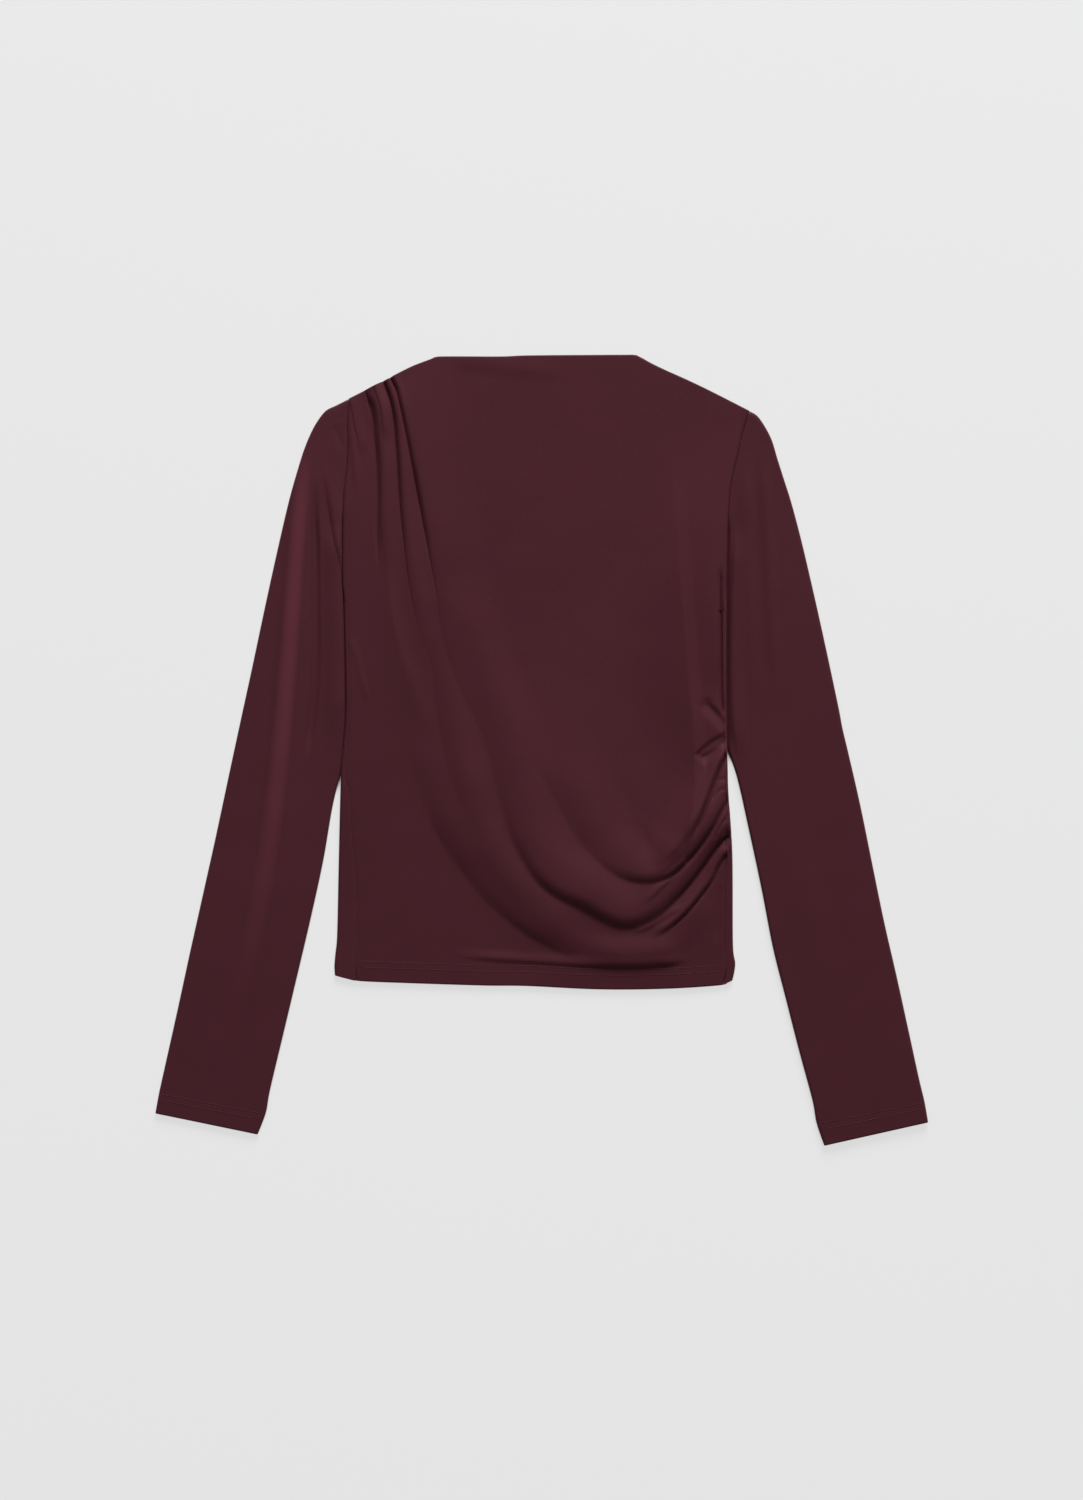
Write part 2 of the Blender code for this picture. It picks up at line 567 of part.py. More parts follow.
def make_sleeve(name, side, sections, folds, material):
    """A flattened tube: a closed ring of points round each section, outside and inside."""
    seam, seam_at = armhole(side, sections)
    straight = seam[0] + (seam[-1] - seam[0]) * seam_at[:, None]
    angles = np.radians([0, 45, 90])
    outer, inner = [], []
    for number, section in enumerate(sections):
        start = np.array([section.outer_x, section.outer_y])
        end = np.array([section.seam_x, section.seam_y])
        width = np.linalg.norm(end - start)
        roll = ROLL * (1 - np.cos(angles))
        middle = np.linspace(ROLL, width - ROLL, SLEEVE_COLUMNS + 1)[1:-1]
        inward = np.concatenate([roll, middle, width - roll[::-1]])
        turn = np.sin(np.concatenate([angles, np.full(len(middle), np.pi / 2), angles[::-1]]))
        inward = np.concatenate([inward, inward[-2:0:-1]])
        turn = np.concatenate([turn, -turn[-2:0:-1]])
        hem = CUFF_RISE if number >= len(sections) - 2 else 0
        for away, points in ((0, outer), (CLOTH, inner)):
            along = (away + (width - 2 * away) * inward / width) / width
            bow = np.column_stack([np.interp(along, seam_at, seam[:, k] - straight[:, k]) for k in (0, 1)])
            flat = start + (end - start) * along[:, None] + section.bow * bow
            height = sleeve_height(side, folds, flat[:, 0], flat[:, 1]) + hem
            z = 0.5 * height + (0.5 * height - away) * turn
            points += list(np.column_stack([flat, z]))
    ring = len(inward)
    faces = []
    for row in range(len(sections) - 1):
        for k in range(ring):
            a, b = row * ring + k, row * ring + (k + 1) % ring
            face = (a, b, b + ring, a + ring)
            faces.append(face if side == LEFT else face[::-1])
    return wall(name, np.array(outer), np.array(inner), faces, material)


def jersey(name, colour):
    """Matt viscose jersey."""
    material = bpy.data.materials.new(name)
    material.use_nodes = True
    shader = material.node_tree.nodes["Principled BSDF"]
    shader.inputs["Base Color"].default_value = (*colour, 1)
    shader.inputs["Roughness"].default_value = 0.75
    shader.inputs["Metallic"].default_value = 0
    return material


def main():
    for old in list(bpy.data.objects):
        bpy.data.objects.remove(old)
    make_back(jersey("back jersey", (0.055, 0.014, 0.02)))
    make_front(jersey("front jersey", (0.062, 0.016, 0.022)))
    right = jersey("right sleeve jersey", (0.06, 0.016, 0.022))
    make_sleeve("sleeve_right", RIGHT, RIGHT_SLEEVE, RIGHT_SLEEVE_FOLDS, right)
    left = jersey("left sleeve jersey", (0.06, 0.016, 0.022))
    make_sleeve("sleeve_left", LEFT, LEFT_SLEEVE, LEFT_SLEEVE_FOLDS, left)


main()
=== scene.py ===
"""Long-sleeved draped jersey top, laid flat on its back on a pale floor and seen from straight above."""

import bpy
import numpy as np
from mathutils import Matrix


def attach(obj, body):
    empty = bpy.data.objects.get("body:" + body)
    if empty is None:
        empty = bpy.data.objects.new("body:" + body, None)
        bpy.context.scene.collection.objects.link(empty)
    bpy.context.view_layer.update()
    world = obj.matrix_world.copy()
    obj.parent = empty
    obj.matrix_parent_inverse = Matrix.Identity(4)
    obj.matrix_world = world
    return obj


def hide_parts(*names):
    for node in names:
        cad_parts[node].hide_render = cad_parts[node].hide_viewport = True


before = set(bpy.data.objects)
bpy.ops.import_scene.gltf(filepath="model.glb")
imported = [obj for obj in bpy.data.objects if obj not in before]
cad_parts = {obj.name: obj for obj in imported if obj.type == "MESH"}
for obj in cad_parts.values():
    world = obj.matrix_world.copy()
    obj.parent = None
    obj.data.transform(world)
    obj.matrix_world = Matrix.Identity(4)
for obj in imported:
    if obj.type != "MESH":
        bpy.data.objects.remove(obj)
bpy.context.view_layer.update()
bpy.ops.object.select_all(action="DESELECT")

# Camera: straight above the top, as it was photographed. At 3 m its 80 mm lens sees
# 1.35 m from the top of the frame to the bottom, so a pixel of the photograph is 0.9 mm.
CAMERA_HEIGHT = 3.0
bpy.ops.object.camera_add(location=(-0.0002, 0.0002, CAMERA_HEIGHT), rotation=(0, 0, 0))
camera = bpy.context.object
camera.name = "camera"
camera.data.lens = 80
camera.data.sensor_width = 36
bpy.context.scene.camera = camera

# Front: one cut piece of burgundy viscose jersey. Five pleats are sewn into the wearer's
# right shoulder seam, and the other side is drawn into gathers in the side seam, so that
# the cloth drapes between them. Sizes are in millimetres from the middle of the top.
MM = 0.001
RIGHT = -1
LEFT = 1
CLOTH = 0.9
GAP = 0.1
TWO_LAYERS = 2.3
BODY_AIR = 1.3
BODY_SOFTNESS = 0.2
HEM_DEPTH = 18.5
HEM_RISE = 0.06
HEM_SLOPE = 1.2
ROLL = 2.4
UNDERARM_FADE = (131, 150)
UNDERARM_Y = {RIGHT: 134.5, LEFT: 125.8}

NECK_AND_SHOULDERS = [(-173.5, 316), (-159, 323.5), (-141, 332.5), (-123, 340.5), (-94, 352), (-88, 354),
                      (-33, 354), (-6, 355), (78, 355.5), (86, 355), (102, 346.5), (138, 329.5), (187, 305)]
SIDES = {
    RIGHT: [(-173.5, 316), (-175, 299), (-174.5, 279), (-175, 256), (-178, 225), (-179, 165),
            (-177.5, 130), (-176, 63), (-176, 31), (-178, 4), (-180.5, -25), (-182.5, -99),
            (-184, -165), (-185.5, -182), (-186.5, -194), (-186, -202.5)],
    LEFT: [(187, 305), (181, 286), (176, 265), (171.5, 246), (168.5, 226), (166.5, 190),
           (165.5, 135), (165.5, 45), (167, -14), (167.5, -36), (169.5, -63), (171.5, -99),
           (172, -174), (174, -190), (173.5, -198), (171.5, -207)],
}
HEM = [(-186, -202.5), (-175, -205.5), (-164, -207.5), (-132, -209), (-55, -211.5), (-13, -212), (51, -215),
       (111, -214.5), (159, -211.5), (167, -209), (171.5, -207)]

# How far in from the body's outline each side seam lies
SEAMS_IN = {
    RIGHT: [(140, 3), (-10, 3), (-36, 8), (-72, 11), (-118, 16), (-171, 18), (-210, 19.5)],
    LEFT: [(140, 3), (-30, 3), (-63, 4.5), (-108, 6.5), (-170, 7.5), (-215, 8)],
}

# Each fold's line runs down from the shoulder, or round the drape to the gathers. A fold's row
# gives its height, its widths on the left and right of the line as it runs, the lengths over
# which it starts and ends, and the line. First come the lines that more than one row follows.
SECOND_PLEAT = [(-161, 329.5), (-157, 319), (-152.5, 301), (-151, 281), (-149, 258.5),
                (-148.5, 230.5), (-148.5, 205.5), (-147.5, 180), (-146, 157.5)]
FOURTH_PLEAT = [(-145.5, 337), (-141, 327), (-136.5, 315), (-133, 297), (-131, 275.5), (-129.5, 256),
                (-128, 230.5), (-126, 205.5), (-120.5, 157.5), (-111.5, 113.5), (-99.5, 76)]
FIFTH_PLEAT = [(-141, 343), (-135.5, 333), (-131, 324), (-127.5, 310), (-122, 284.5), (-113, 237),
               (-100.5, 172), (-95, 144), (-89, 99)]
UPPER_FOLD = [(-19.5, 31.5), (-8, -4.5), (5, -31.5), (16.5, -52), (25.5, -70), (34.5, -83.5),
              (50, -99.5), (63.5, -110.5), (77.5, -117.5), (93, -119.5), (106.5, -117.5),
              (118, -111.5), (129, -101.5), (138, -91.5), (146, -81), (153.5, -70),
              (159.5, -58.5), (167, -45)]
LOWER_FOLD = [(-98, 160), (-89, 99), (-80.5, 74), (-70, 47), (-56.5, 20), (-45.5, -13.5),
              (-37.5, -43), (-30.5, -71), (-19.5, -95), (-5, -117), (13, -132), (34.5, -142.5),
              (52.5, -153), (70.5, -160), (88.5, -158), (106.5, -148.5), (120, -135.5),
              (133.5, -120.5), (142.5, -108.5), (151.5, -96), (158.5, -86), (167, -77)]
OUTER_FOLD = [(-129.5, 54), (-119.5, -2.5), (-109.5, -36), (-96, -72), (-78, -100.5), (-51, -135),
              (-19.5, -162), (7.5, -178), (32.5, -189)]
TOP_GATHER = [(131.5, -85.5), (137, -73.5), (143.5, -58.5), (149, -45), (154, -31.5),
              (159.5, -18), (166, -4.5)]
LOW_GATHER = [(97.5, -171), (108.5, -164.5), (122, -154.5), (133.5, -143), (142.5, -132),
              (153.5, -117), (158.5, -106), (165, -95)]
HEM_FOLD = [(-87, -186), (-48.5, -189.5), (15.5, -193.5), (36.5, -195), (75, -196),
            (113.5, -194), (135.5, -189.5)]

# Soft rolls under the pleats, in the drape, along the body's left side and at the neck
ROLLS = [
    (2.2, 45, 30, 35, 110, [(-142, 338), (-130, 280), (-118, 200), (-105, 130), (-95, 60)]),
    (1.1, 26, 20, 80, 25, [(-91, 99), (-80, 54), (-71, 9), (-60, -36), (-46, -76), (-30, -106), (-6, -133),
                           (21, -157), (52, -175), (84, -181), (111, -174), (133, -154), (150, -128)]),
    (4.0, 130, 90, 170, 60, [(-72, 100), (-55, 45), (-40, 5), (-25, -35), (-5, -75), (20, -105), (50, -130),
                             (85, -140), (118, -125), (142, -98), (160, -70), (185, -35)]),
    (2.4, 25, 40, 50, 60, [(160, 70), (160, 0), (158, -60), (150, -110)]),
    (2.6, 16, 26, 130, 50, [(158, 235), (157, 150), (157, 90), (158, 40)]),
    (0.6, 14, 9, 20, 40, [(-84, 350), (-54, 347), (-32, 343.5), (0, 341), (30, 340)]),
    (0.6, 4, 4, 10, 10, [(-174, 104), (-167, 85), (-161, 63), (-155, 42)]),
]

# Ridges drawn tight by the pleats and the gathers
RIDGES = [
    (1.8, 12, 30, 60, 60, [(-140, 225), (-139, 189), (-137.5, 153), (-135.5, 130.5), (-128.5, 94.5),
                           (-118.5, 63), (-109.5, 34.5), (-100.5, 9)]),
    (3.8, 11, 60, 170, 30, [(116, 290), (119, 250), (121.5, 215), (124, 171), (128, 117), (132.5, 63),
                            (136, 27), (137, 2), (138, -27), (135.5, -45), (131, -67.5), (122.5, -82.5),
                            (111, -95), (97.5, -104)]),
]

# Pleats, whose folded edges lie over the cloth on the right of each line. Where a fold lies
# over its neighbour, the second number is the whole width and the third that of the rounded edge.
PLEATS = [
    (1.1, 12, 3, 0, 15, [(-174.5, 322.5), (-172.5, 315), (-169, 293.5), (-166, 278.5), (-166, 263)]),
    (0.9, 9, 3, 0, 25, [(-175, 310.5), (-172.5, 279), (-170.5, 256.5), (-170, 229.5)]),
    (2.8, 21, 8, 0, 60, SECOND_PLEAT),
    (1.0, 10, 4, 0, 12, [(-153.5, 331.5), (-150, 322.5), (-145.5, 309), (-143.5, 293.5), (-143, 278.5)]),
    (2.5, 17, 6, 0, 150, FOURTH_PLEAT),
    (2.7, 60, 9, 0, 110, FIFTH_PLEAT),
]

# Folds of the drape, each lying over the cloth outside its curve. The upper and lower folds
# start soft, and a sharper edge grows on them towards the gathers.
DRAPES = [
    (2.6, 60, 26, 60, 150, LOWER_FOLD[:16]),
    (4.9, 56, 12, 150, 0, LOWER_FOLD[5:]),
    (1.2, 40, 14, 50, 50, [(-111.5, 113.5), (-99.5, 76), (-95, 40), (-90.5, 7.5), (-78, -36), (-60, -75)]),
    (2.5, 60, 22, 100, 60, UPPER_FOLD[:11]),
    (4.2, 50, 11, 80, 0, UPPER_FOLD[5:]),
    (3.0, 14, 5, 30, 0, TOP_GATHER),
    (1.2, 9, 2.5, 15, 5, [(93, -140), (111, -121.5), (124.5, -108), (133.5, -100.5)]),
    (3.4, 66, 24, 140, 40, OUTER_FOLD),
    (0.9, 30, 10, 60, 10, OUTER_FOLD[5:]),
    (2.4, 12, 4, 20, 0, LOW_GATHER),
    (1.1, 8, 2.5, 12, 10, [(82, -167), (97.5, -160), (111, -152), (128, -141)]),
    (1.2, 12, 3, 50, 25, HEM_FOLD),
    (2.6, 34, 12, 50, 30, HEM_FOLD[2:]),
]

# Narrow valleys beside the pleats' edges and the gathers, and small ones where the left side
# seam draws the cloth up. Their height is negative.
GROOVES = [
    (-3.2, 6, 2, 12, 60, SECOND_PLEAT[1:]),
    (-2.6, 3.8, 1.5, 0, 110, FOURTH_PLEAT[:9]),
    (-2.4, 4.2, 1.6, 5, 110, FIFTH_PLEAT[:8]),
    (-1.7, 2.4, 16, 4, 0, [(137, -6), (148, 4), (154, 8.5), (165, 14.5)]),
    (-1.4, 2.3, 9, 4, 0, [(141, -7), (153.5, -1.5), (164, 8)]),
    (-2.1, 3.2, 11, 6, 0, [(146, 47), (150.5, 40), (157, 33.5), (164, 25.5)]),
    (-4.2, 2.3, 2.6, 15, 10, [(160.6, 165), (160.5, 144), (160.5, 99), (160.8, 54), (163.5, 28)]),
    (-3.4, 3.5, 2.8, 28, 0, TOP_GATHER),
    (-2.8, 3.6, 3, 40, 0, UPPER_FOLD[9:]),
    (-2.4, 3.2, 2.6, 40, 0, LOWER_FOLD[15:]),
    (-1.6, 2.6, 2, 20, 0, LOW_GATHER[1:]),
    (-1.4, 1.8, 1.8, 5, 0, [(153, -81), (157, -73), (163, -64), (169, -57)]),
    (-1.2, 1.6, 1.6, 5, 0, [(152, -47), (158, -37), (163, -35), (170, -33)]),
    (-1.2, 1.6, 1.6, 5, 0, [(155, -30), (161, -26), (170, -24)]),
    (-0.8, 4, 4, 15, 15, [(162.5, -117), (158.5, -147.5), (156, -175.5)]),
]


def step(low, high, value):
    """0 below low, 1 above high and smooth between."""
    t = np.clip((np.asarray(value, float) - low) / (high - low), 0, 1)
    return t * t * (3 - 2 * t)


def smooth_curve(points, spacing):
    """Points about `spacing` apart on a smooth curve through the given ones."""
    p = np.array(points, float)
    p = np.vstack([2 * p[0] - p[1], p, 2 * p[-1] - p[-2]])
    out = []
    for a, b, c, d in zip(p[:-3], p[1:-2], p[2:-1], p[3:]):
        count = max(2, int(np.linalg.norm((c - b)[:2]) / spacing) + 1)
        for t in np.arange(count) / count:
            out.append(0.5 * (2 * b + (c - a) * t + (2 * a - 5 * b + 4 * c - d) * t**2
                              + (3 * b - a - 3 * c + d) * t**3))
    out.append(p[-2])
    return np.array(out)


def lookup(points, value, result):
    """A lookup along a smooth outline: column `result` for a given column `value`."""
    curve = smooth_curve(points, 2)
    curve = curve[np.argsort(curve[:, value])]
    return lambda v: np.interp(v, curve[:, value], curve[:, result])


top_y = lookup(NECK_AND_SHOULDERS, 0, 1)
hem_y = lookup(HEM, 0, 1)
edge_x = {side: lookup(SIDES[side], 1, 0) for side in (RIGHT, LEFT)}
seam_in = {side: lookup(SEAMS_IN[side], 0, 1) for side in (RIGHT, LEFT)}


def soft(distance, on_a, side_a, side_b):
    """Height across a soft roll: 1 on its line, 0 at its foot on each side."""
    return 0.5 + 0.5 * np.cos(np.pi * np.minimum(distance / np.where(on_a, side_a, side_b), 1))


def ridge(distance, on_a, side_a, side_b):
    """Height across a ridge drawn tight, hollow on both sides and sharp at the top."""
    return (1 - np.minimum(distance / np.where(on_a, side_a, side_b), 1)) ** np.where(on_a, 1.3, 2.2)


def lap(distance, on_a, width, edge, roundness=1):
    """Height across a fold that lies over its neighbour: a rounded edge, then a long slope down."""
    up = 1 - (1 - np.minimum(distance / edge, 1)) ** 2
    down = np.clip((distance - edge) / (width - edge), 0, 1)
    return on_a * up**roundness * (0.5 + 0.5 * np.cos(np.pi * down))


def folded_edge(distance, on_a, width, edge):
    """Height across a pleat, whose edge is fully round."""
    return lap(distance, on_a, width, edge, roundness=0.5)


def fold_height(shape_across, folds, x, y):
    """Sum of the folds' heights at each point."""
    total = np.zeros_like(x)
    for height, side_a, side_b, fade_start, fade_end, line in folds:
        path = smooth_curve(line, 3)
        reach = max(side_a, side_b)
        low, high = path.min(0) - reach, path.max(0) + reach
        near = np.flatnonzero((x > low[0]) & (x < high[0]) & (y > low[1]) & (y < high[1]))
        if not len(near):
            continue
        start, ahead = path[:-1], np.diff(path, axis=0)
        length = np.linalg.norm(ahead, axis=1)
        away_x = x[near, None] - start[:, 0]
        away_y = y[near, None] - start[:, 1]
        along = np.clip((away_x * ahead[:, 0] + away_y * ahead[:, 1]) / length**2, 0, 1)
        off_x = away_x - along * ahead[:, 0]
        off_y = away_y - along * ahead[:, 1]
        nearest = np.argmin(off_x**2 + off_y**2, axis=1)
        pick = (np.arange(len(near)), nearest)
        distance = np.hypot(off_x[pick], off_y[pick])
        on_a = ahead[nearest, 0] * off_y[pick] - ahead[nearest, 1] * off_x[pick] > 0
        shape = shape_across(distance, on_a, side_a, side_b)
        run = np.concatenate([[0], np.cumsum(length)])
        place = run[nearest] + along[pick] * length[nearest]
        if fade_start:
            shape *= step(0, fade_start, place)
        if fade_end:
            shape *= step(0, fade_end, run[-1] - place)
        total[near] += height * shape
    return total


def above_nothing(height, softness):
    """The height, kept over 0 with a soft turn."""
    return 0.5 * (height + np.sqrt(height**2 + softness))


def unevenness(x, y, seed, size, longest):
    """Slight waves such as soft jersey keeps when it is laid down."""
    draw = np.random.default_rng(seed)
    total = np.zeros_like(x)
    for wave in range(18):
        turn = draw.uniform(0, np.pi)
        length = longest * draw.uniform(0.3, 1)
        phase = draw.uniform(0, 2 * np.pi)
        along = x * np.cos(turn) + y * np.sin(turn)
        total += np.sin(2 * np.pi * along / length + phase) * length / longest
    return size * total / 3


# The sleeves' hidden edges lie under the body, which rises over them by LIFT and comes down
# again over LIFT_RAMP. LIFTED says how far in from each side they reach, from hem to shoulder.
LIFT = 2.7
LIFT_RAMP = 60
LIFTED = [(-60, 6), (-30, 8), (0, 15), (30, 23), (60, 29), (90, 33.5), (120, 33.5), (150, 31), (180, 28),
          (210, 24), (260, 16), (320, 8)]
LIFT_ENDS = {RIGHT: (-135, -28, 203, 306), LEFT: (-110, -5, 197, 300)}
FRONT_LIFT = 1.15
lifted = lookup(LIFTED, 0, 1)


def lift(x, y):
    """Height of the back's underside, which lies on the floor and on the sleeves' hidden edges."""
    total = np.zeros_like(x)
    for side in (RIGHT, LEFT):
        lowest, low, high, highest = LIFT_ENDS[side]
        past_sleeve = (edge_x[side](y) - x) * side - lifted(y)
        along = step(lowest, low, y) * (1 - step(high, highest, y))
        total += LIFT * along * (1 - step(0, LIFT_RAMP, past_sleeve))
    return total


def body_top(x, y):
    """The body's outer surface, rolled over at each side below the underarm."""
    right, left = edge_x[RIGHT](y), edge_x[LEFT](y)
    at = np.clip(x, right + ROLL, left - ROLL)
    relief = BODY_AIR + fold_height(soft, ROLLS + GROOVES, at, y) + fold_height(ridge, RIDGES, at, y)
    relief += fold_height(folded_edge, PLEATS, at, y) + fold_height(lap, DRAPES, at, y)
    relief += unevenness(at, y, 3, 0.12, 90)
    relief = above_nothing(relief, BODY_SOFTNESS)
    relief += HEM_RISE * (1 - step(HEM_DEPTH - HEM_SLOPE, HEM_DEPTH, y - hem_y(x)))
    inward = np.clip(np.minimum(x - right, left - x), 0, ROLL)
    round_off = 0.5 + 0.5 * np.sqrt(1 - (1 - inward / ROLL) ** 2)
    rolled = 1 - step(*UNDERARM_FADE, y)
    return FRONT_LIFT * lift(x, y) + (TWO_LAYERS + relief) * (1 - rolled * (1 - round_off))


def edge_turn(distance, reach, depth):
    """How far cloth turns down within reach of an edge or seam."""
    return depth * (1 - np.clip(distance / reach, 0, 1)) ** 2


def spread(start, end, first, most, growth=1.35):
    """Places from start to end whose spacing grows from `first` to `most` and shrinks again."""
    middle = 0.5 * (start + end)
    half = [0.0]
    gap = first
    while half[-1] + gap < middle - start:
        half.append(half[-1] + gap)
        gap = min(most, gap * growth)
    half = np.array(half) * (middle - start) / (half[-1] + 0.5 * gap)
    return np.concatenate([start + half, end - half[::-1]])


def cloth_wall(name, outer, inner, quads, flat):
    """A closed wall of cloth between two surfaces with the same faces, and its flat pattern as a UV map."""
    count = len(outer)
    sides = np.concatenate([quads[:, [k, (k + 1) % 4]] for k in range(4)])
    key, back = sides[:, 0] * count + sides[:, 1], sides[:, 1] * count + sides[:, 0]
    rim = sides[~np.isin(key, back)]
    rims = np.column_stack([rim[:, 1], rim[:, 0], rim[:, 0] + count, rim[:, 1] + count])
    faces = np.concatenate([quads, quads[:, ::-1] + count, rims])
    mesh = bpy.data.meshes.new(name)
    mesh.from_pydata(np.concatenate([outer, inner]) * MM, [], faces.tolist())
    mesh.update()
    corners = np.zeros(len(mesh.loops), int)
    mesh.loops.foreach_get("vertex_index", corners)
    pattern = mesh.uv_layers.new(name="pattern")
    pattern.data.foreach_set("uv", (np.concatenate([flat, flat])[corners] * MM).ravel())
    piece = bpy.data.objects.new(name, mesh)
    bpy.context.collection.objects.link(piece)
    bpy.ops.object.select_all(action="DESELECT")
    piece.select_set(True)
    bpy.context.view_layer.objects.active = piece
    bpy.ops.object.shade_smooth_by_angle(angle=np.radians(60))
    piece.select_set(False)
    return piece


# The jersey's columns and rows of loops, in metres. A painted highlight, a lighter streak in the
# colour along a fold, has a width that is that at the middle of the top and narrows towards the
# neck by so much a metre. It is strongest between its two ends' heights, and fades from there to where its
# line ends.
WALE = 0.0008
COURSE = 0.0007
PAINTED_HIGHLIGHT_WIDTH = 0.0095
PAINTED_HIGHLIGHT_NARROWS = 0.008
PAINTED_HIGHLIGHT_STRENGTH = 0.62
PAINTED_HIGHLIGHT_ENDS = (0.12, 0.2)


def jersey(name, colour, seed, painted_highlight=None):
    """Viscose jersey: fine wales and courses, slightly uneven dye, and a painted highlight along a fold, if
    given.
    """
    material = bpy.data.materials.new(name)
    material.use_nodes = True
    nodes, links = material.node_tree.nodes, material.node_tree.links

    def math(kind, a, b=None, c=None):
        node = nodes.new("ShaderNodeMath")
        node.operation = kind
        for socket, value in zip(node.inputs, (a, b, c)):
            if value is None:
                continue
            if isinstance(value, (int, float)):
                socket.default_value = value
            else:
                links.new(value, socket)
        return node.outputs[0]

    pattern = nodes.new("ShaderNodeUVMap")
    pattern.uv_map = "pattern"
    parts = nodes.new("ShaderNodeSeparateXYZ")
    links.new(pattern.outputs["UV"], parts.inputs[0])
    wale = math("ABSOLUTE", math("SINE", math("MULTIPLY", parts.outputs[0], np.pi / WALE)))
    turn = math("MULTIPLY", parts.outputs[1], 2 * np.pi / COURSE)
    course = math("SINE", math("ADD", turn, math("MULTIPLY", wale, 2.6)))
    loops = math("MULTIPLY", wale, math("ADD", math("MULTIPLY", course, 0.25), 0.75))

    place = nodes.new("ShaderNodeTexCoord")
    soft = nodes.new("ShaderNodeTexNoise")
    soft.inputs["Scale"].default_value = 9
    soft.inputs["Detail"].default_value = 3
    soft.noise_dimensions = "4D"
    soft.inputs["W"].default_value = seed
    links.new(place.outputs["Object"], soft.inputs["Vector"])
    fibre = nodes.new("ShaderNodeTexNoise")
    fibre.inputs["Scale"].default_value = 420
    fibre.inputs["Detail"].default_value = 2
    links.new(place.outputs["Object"], fibre.inputs["Vector"])

    uneven = math("MULTIPLY", soft.outputs["Fac"], 0.16)
    shade = math("ADD", uneven, math("MULTIPLY", fibre.outputs["Fac"], 0.14))
    shade = math("ADD", shade, math("MULTIPLY", loops, 0.16))
    # A lighter streak in the colour along the given line: a painted highlight
    if painted_highlight:
        spot = nodes.new("ShaderNodeSeparateXYZ")
        links.new(place.outputs["Object"], spot.inputs[0])
        line = np.array(painted_highlight) * MM
        middle = 0.0
        for factor in np.polyfit(line[:, 1], line[:, 0], 3):
            middle = math("MULTIPLY_ADD", middle, spot.outputs[1], float(factor))
        width = math("MULTIPLY_ADD", spot.outputs[1], -PAINTED_HIGHLIGHT_NARROWS, PAINTED_HIGHLIGHT_WIDTH)
        off = math("DIVIDE", math("SUBTRACT", spot.outputs[0], middle), width)
        near = math("MAXIMUM", math("SUBTRACT", 1.0, math("MULTIPLY", off, off)), 0.0)
        along = nodes.new("ShaderNodeMapRange")
        along.interpolation_type = "SMOOTHSTEP"
        for socket, value in zip(("From Min", "From Max", "To Max"),
                                 (line[-1, 1], PAINTED_HIGHLIGHT_ENDS[0], PAINTED_HIGHLIGHT_STRENGTH)):
            along.inputs[socket].default_value = value
        links.new(spot.outputs[1], along.inputs["Value"])
        top_end = nodes.new("ShaderNodeMapRange")
        top_end.interpolation_type = "SMOOTHSTEP"
        for socket, value in zip(("From Min", "From Max", "To Min", "To Max"),
                                 (PAINTED_HIGHLIGHT_ENDS[1], line[0, 1], 1, 0)):
            top_end.inputs[socket].default_value = value
        links.new(spot.outputs[1], top_end.inputs["Value"])
        strength = math("MULTIPLY", along.outputs[0], top_end.outputs[0])
        shade = math("ADD", shade, math("MULTIPLY", strength, near))
    tint = nodes.new("ShaderNodeMix")
    tint.data_type = "RGBA"
    tint.inputs["A"].default_value = (*[c * 0.76 for c in colour], 1)
    tint.inputs["B"].default_value = (*[c * 1.76 for c in colour], 1)
    links.new(shade, tint.inputs["Factor"])

    bump = nodes.new("ShaderNodeBump")
    bump.inputs["Strength"].default_value = 0.35
    bump.inputs["Distance"].default_value = 0.00015
    links.new(math("ADD", loops, math("MULTIPLY", fibre.outputs["Fac"], 0.6)), bump.inputs["Height"])

    shader = nodes["Principled BSDF"]
    links.new(tint.outputs["Result"], shader.inputs["Base Color"])
    links.new(bump.outputs["Normal"], shader.inputs["Normal"])
    shader.inputs["Roughness"].default_value = 0.6
    shader.inputs["Specular IOR Level"].default_value = 0.06
    shader.inputs["Sheen Weight"].default_value = 0.2
    shader.inputs["Sheen Roughness"].default_value = 0.35
    shader.inputs["Sheen Tint"].default_value = (1, 0.35, 0.42, 1)
    return material


def seam_inset(side, y):
    """How far the front's edge lies in from the body's outline: nothing down to the underarm."""
    below = 1 - step(UNDERARM_Y[side] - 0.1, UNDERARM_Y[side] + 0.6, y)
    return (seam_in[side](y) + 0.5 * GAP) * below


# Lines that the columns of points follow, from the right edge through the pleats to the left edge
PLEAT_COLUMNS = [
    [(-175, 330), (-174.5, 322.5), (-172.5, 315), (-169, 293.5), (-166, 278.5), (-166, 263), (-163, 180),
     (-158, 100), (-154, 0), (-152, -215)],
    [(-162, 333), (-157, 319), (-152.5, 301), (-151, 281), (-149, 258.5), (-148.5, 205.5), (-146, 157.5),
     (-143, 100), (-138, 0), (-136, -215)],
    [(-155, 336), (-150, 322.5), (-145.5, 309), (-143.5, 293.5), (-143, 278.5), (-141.5, 230), (-138, 180),
     (-132, 100), (-124, 0), (-122, -215)],
    [(-147, 341), (-141, 327), (-136.5, 315), (-133, 297), (-131, 275.5), (-129.5, 256), (-128, 230.5),
     (-126, 205.5), (-120.5, 157.5), (-111.5, 113.5), (-99.5, 76), (-92, 0), (-90, -215)],
    [(-142, 346), (-135.5, 333), (-131, 324), (-127.5, 310), (-122, 284.5), (-113, 237), (-100.5, 172),
     (-95, 144), (-89, 99), (-80, 60), (-72, 0), (-68, -215)],
]
guides = [lambda y: edge_x[RIGHT](y) + seam_inset(RIGHT, y)]
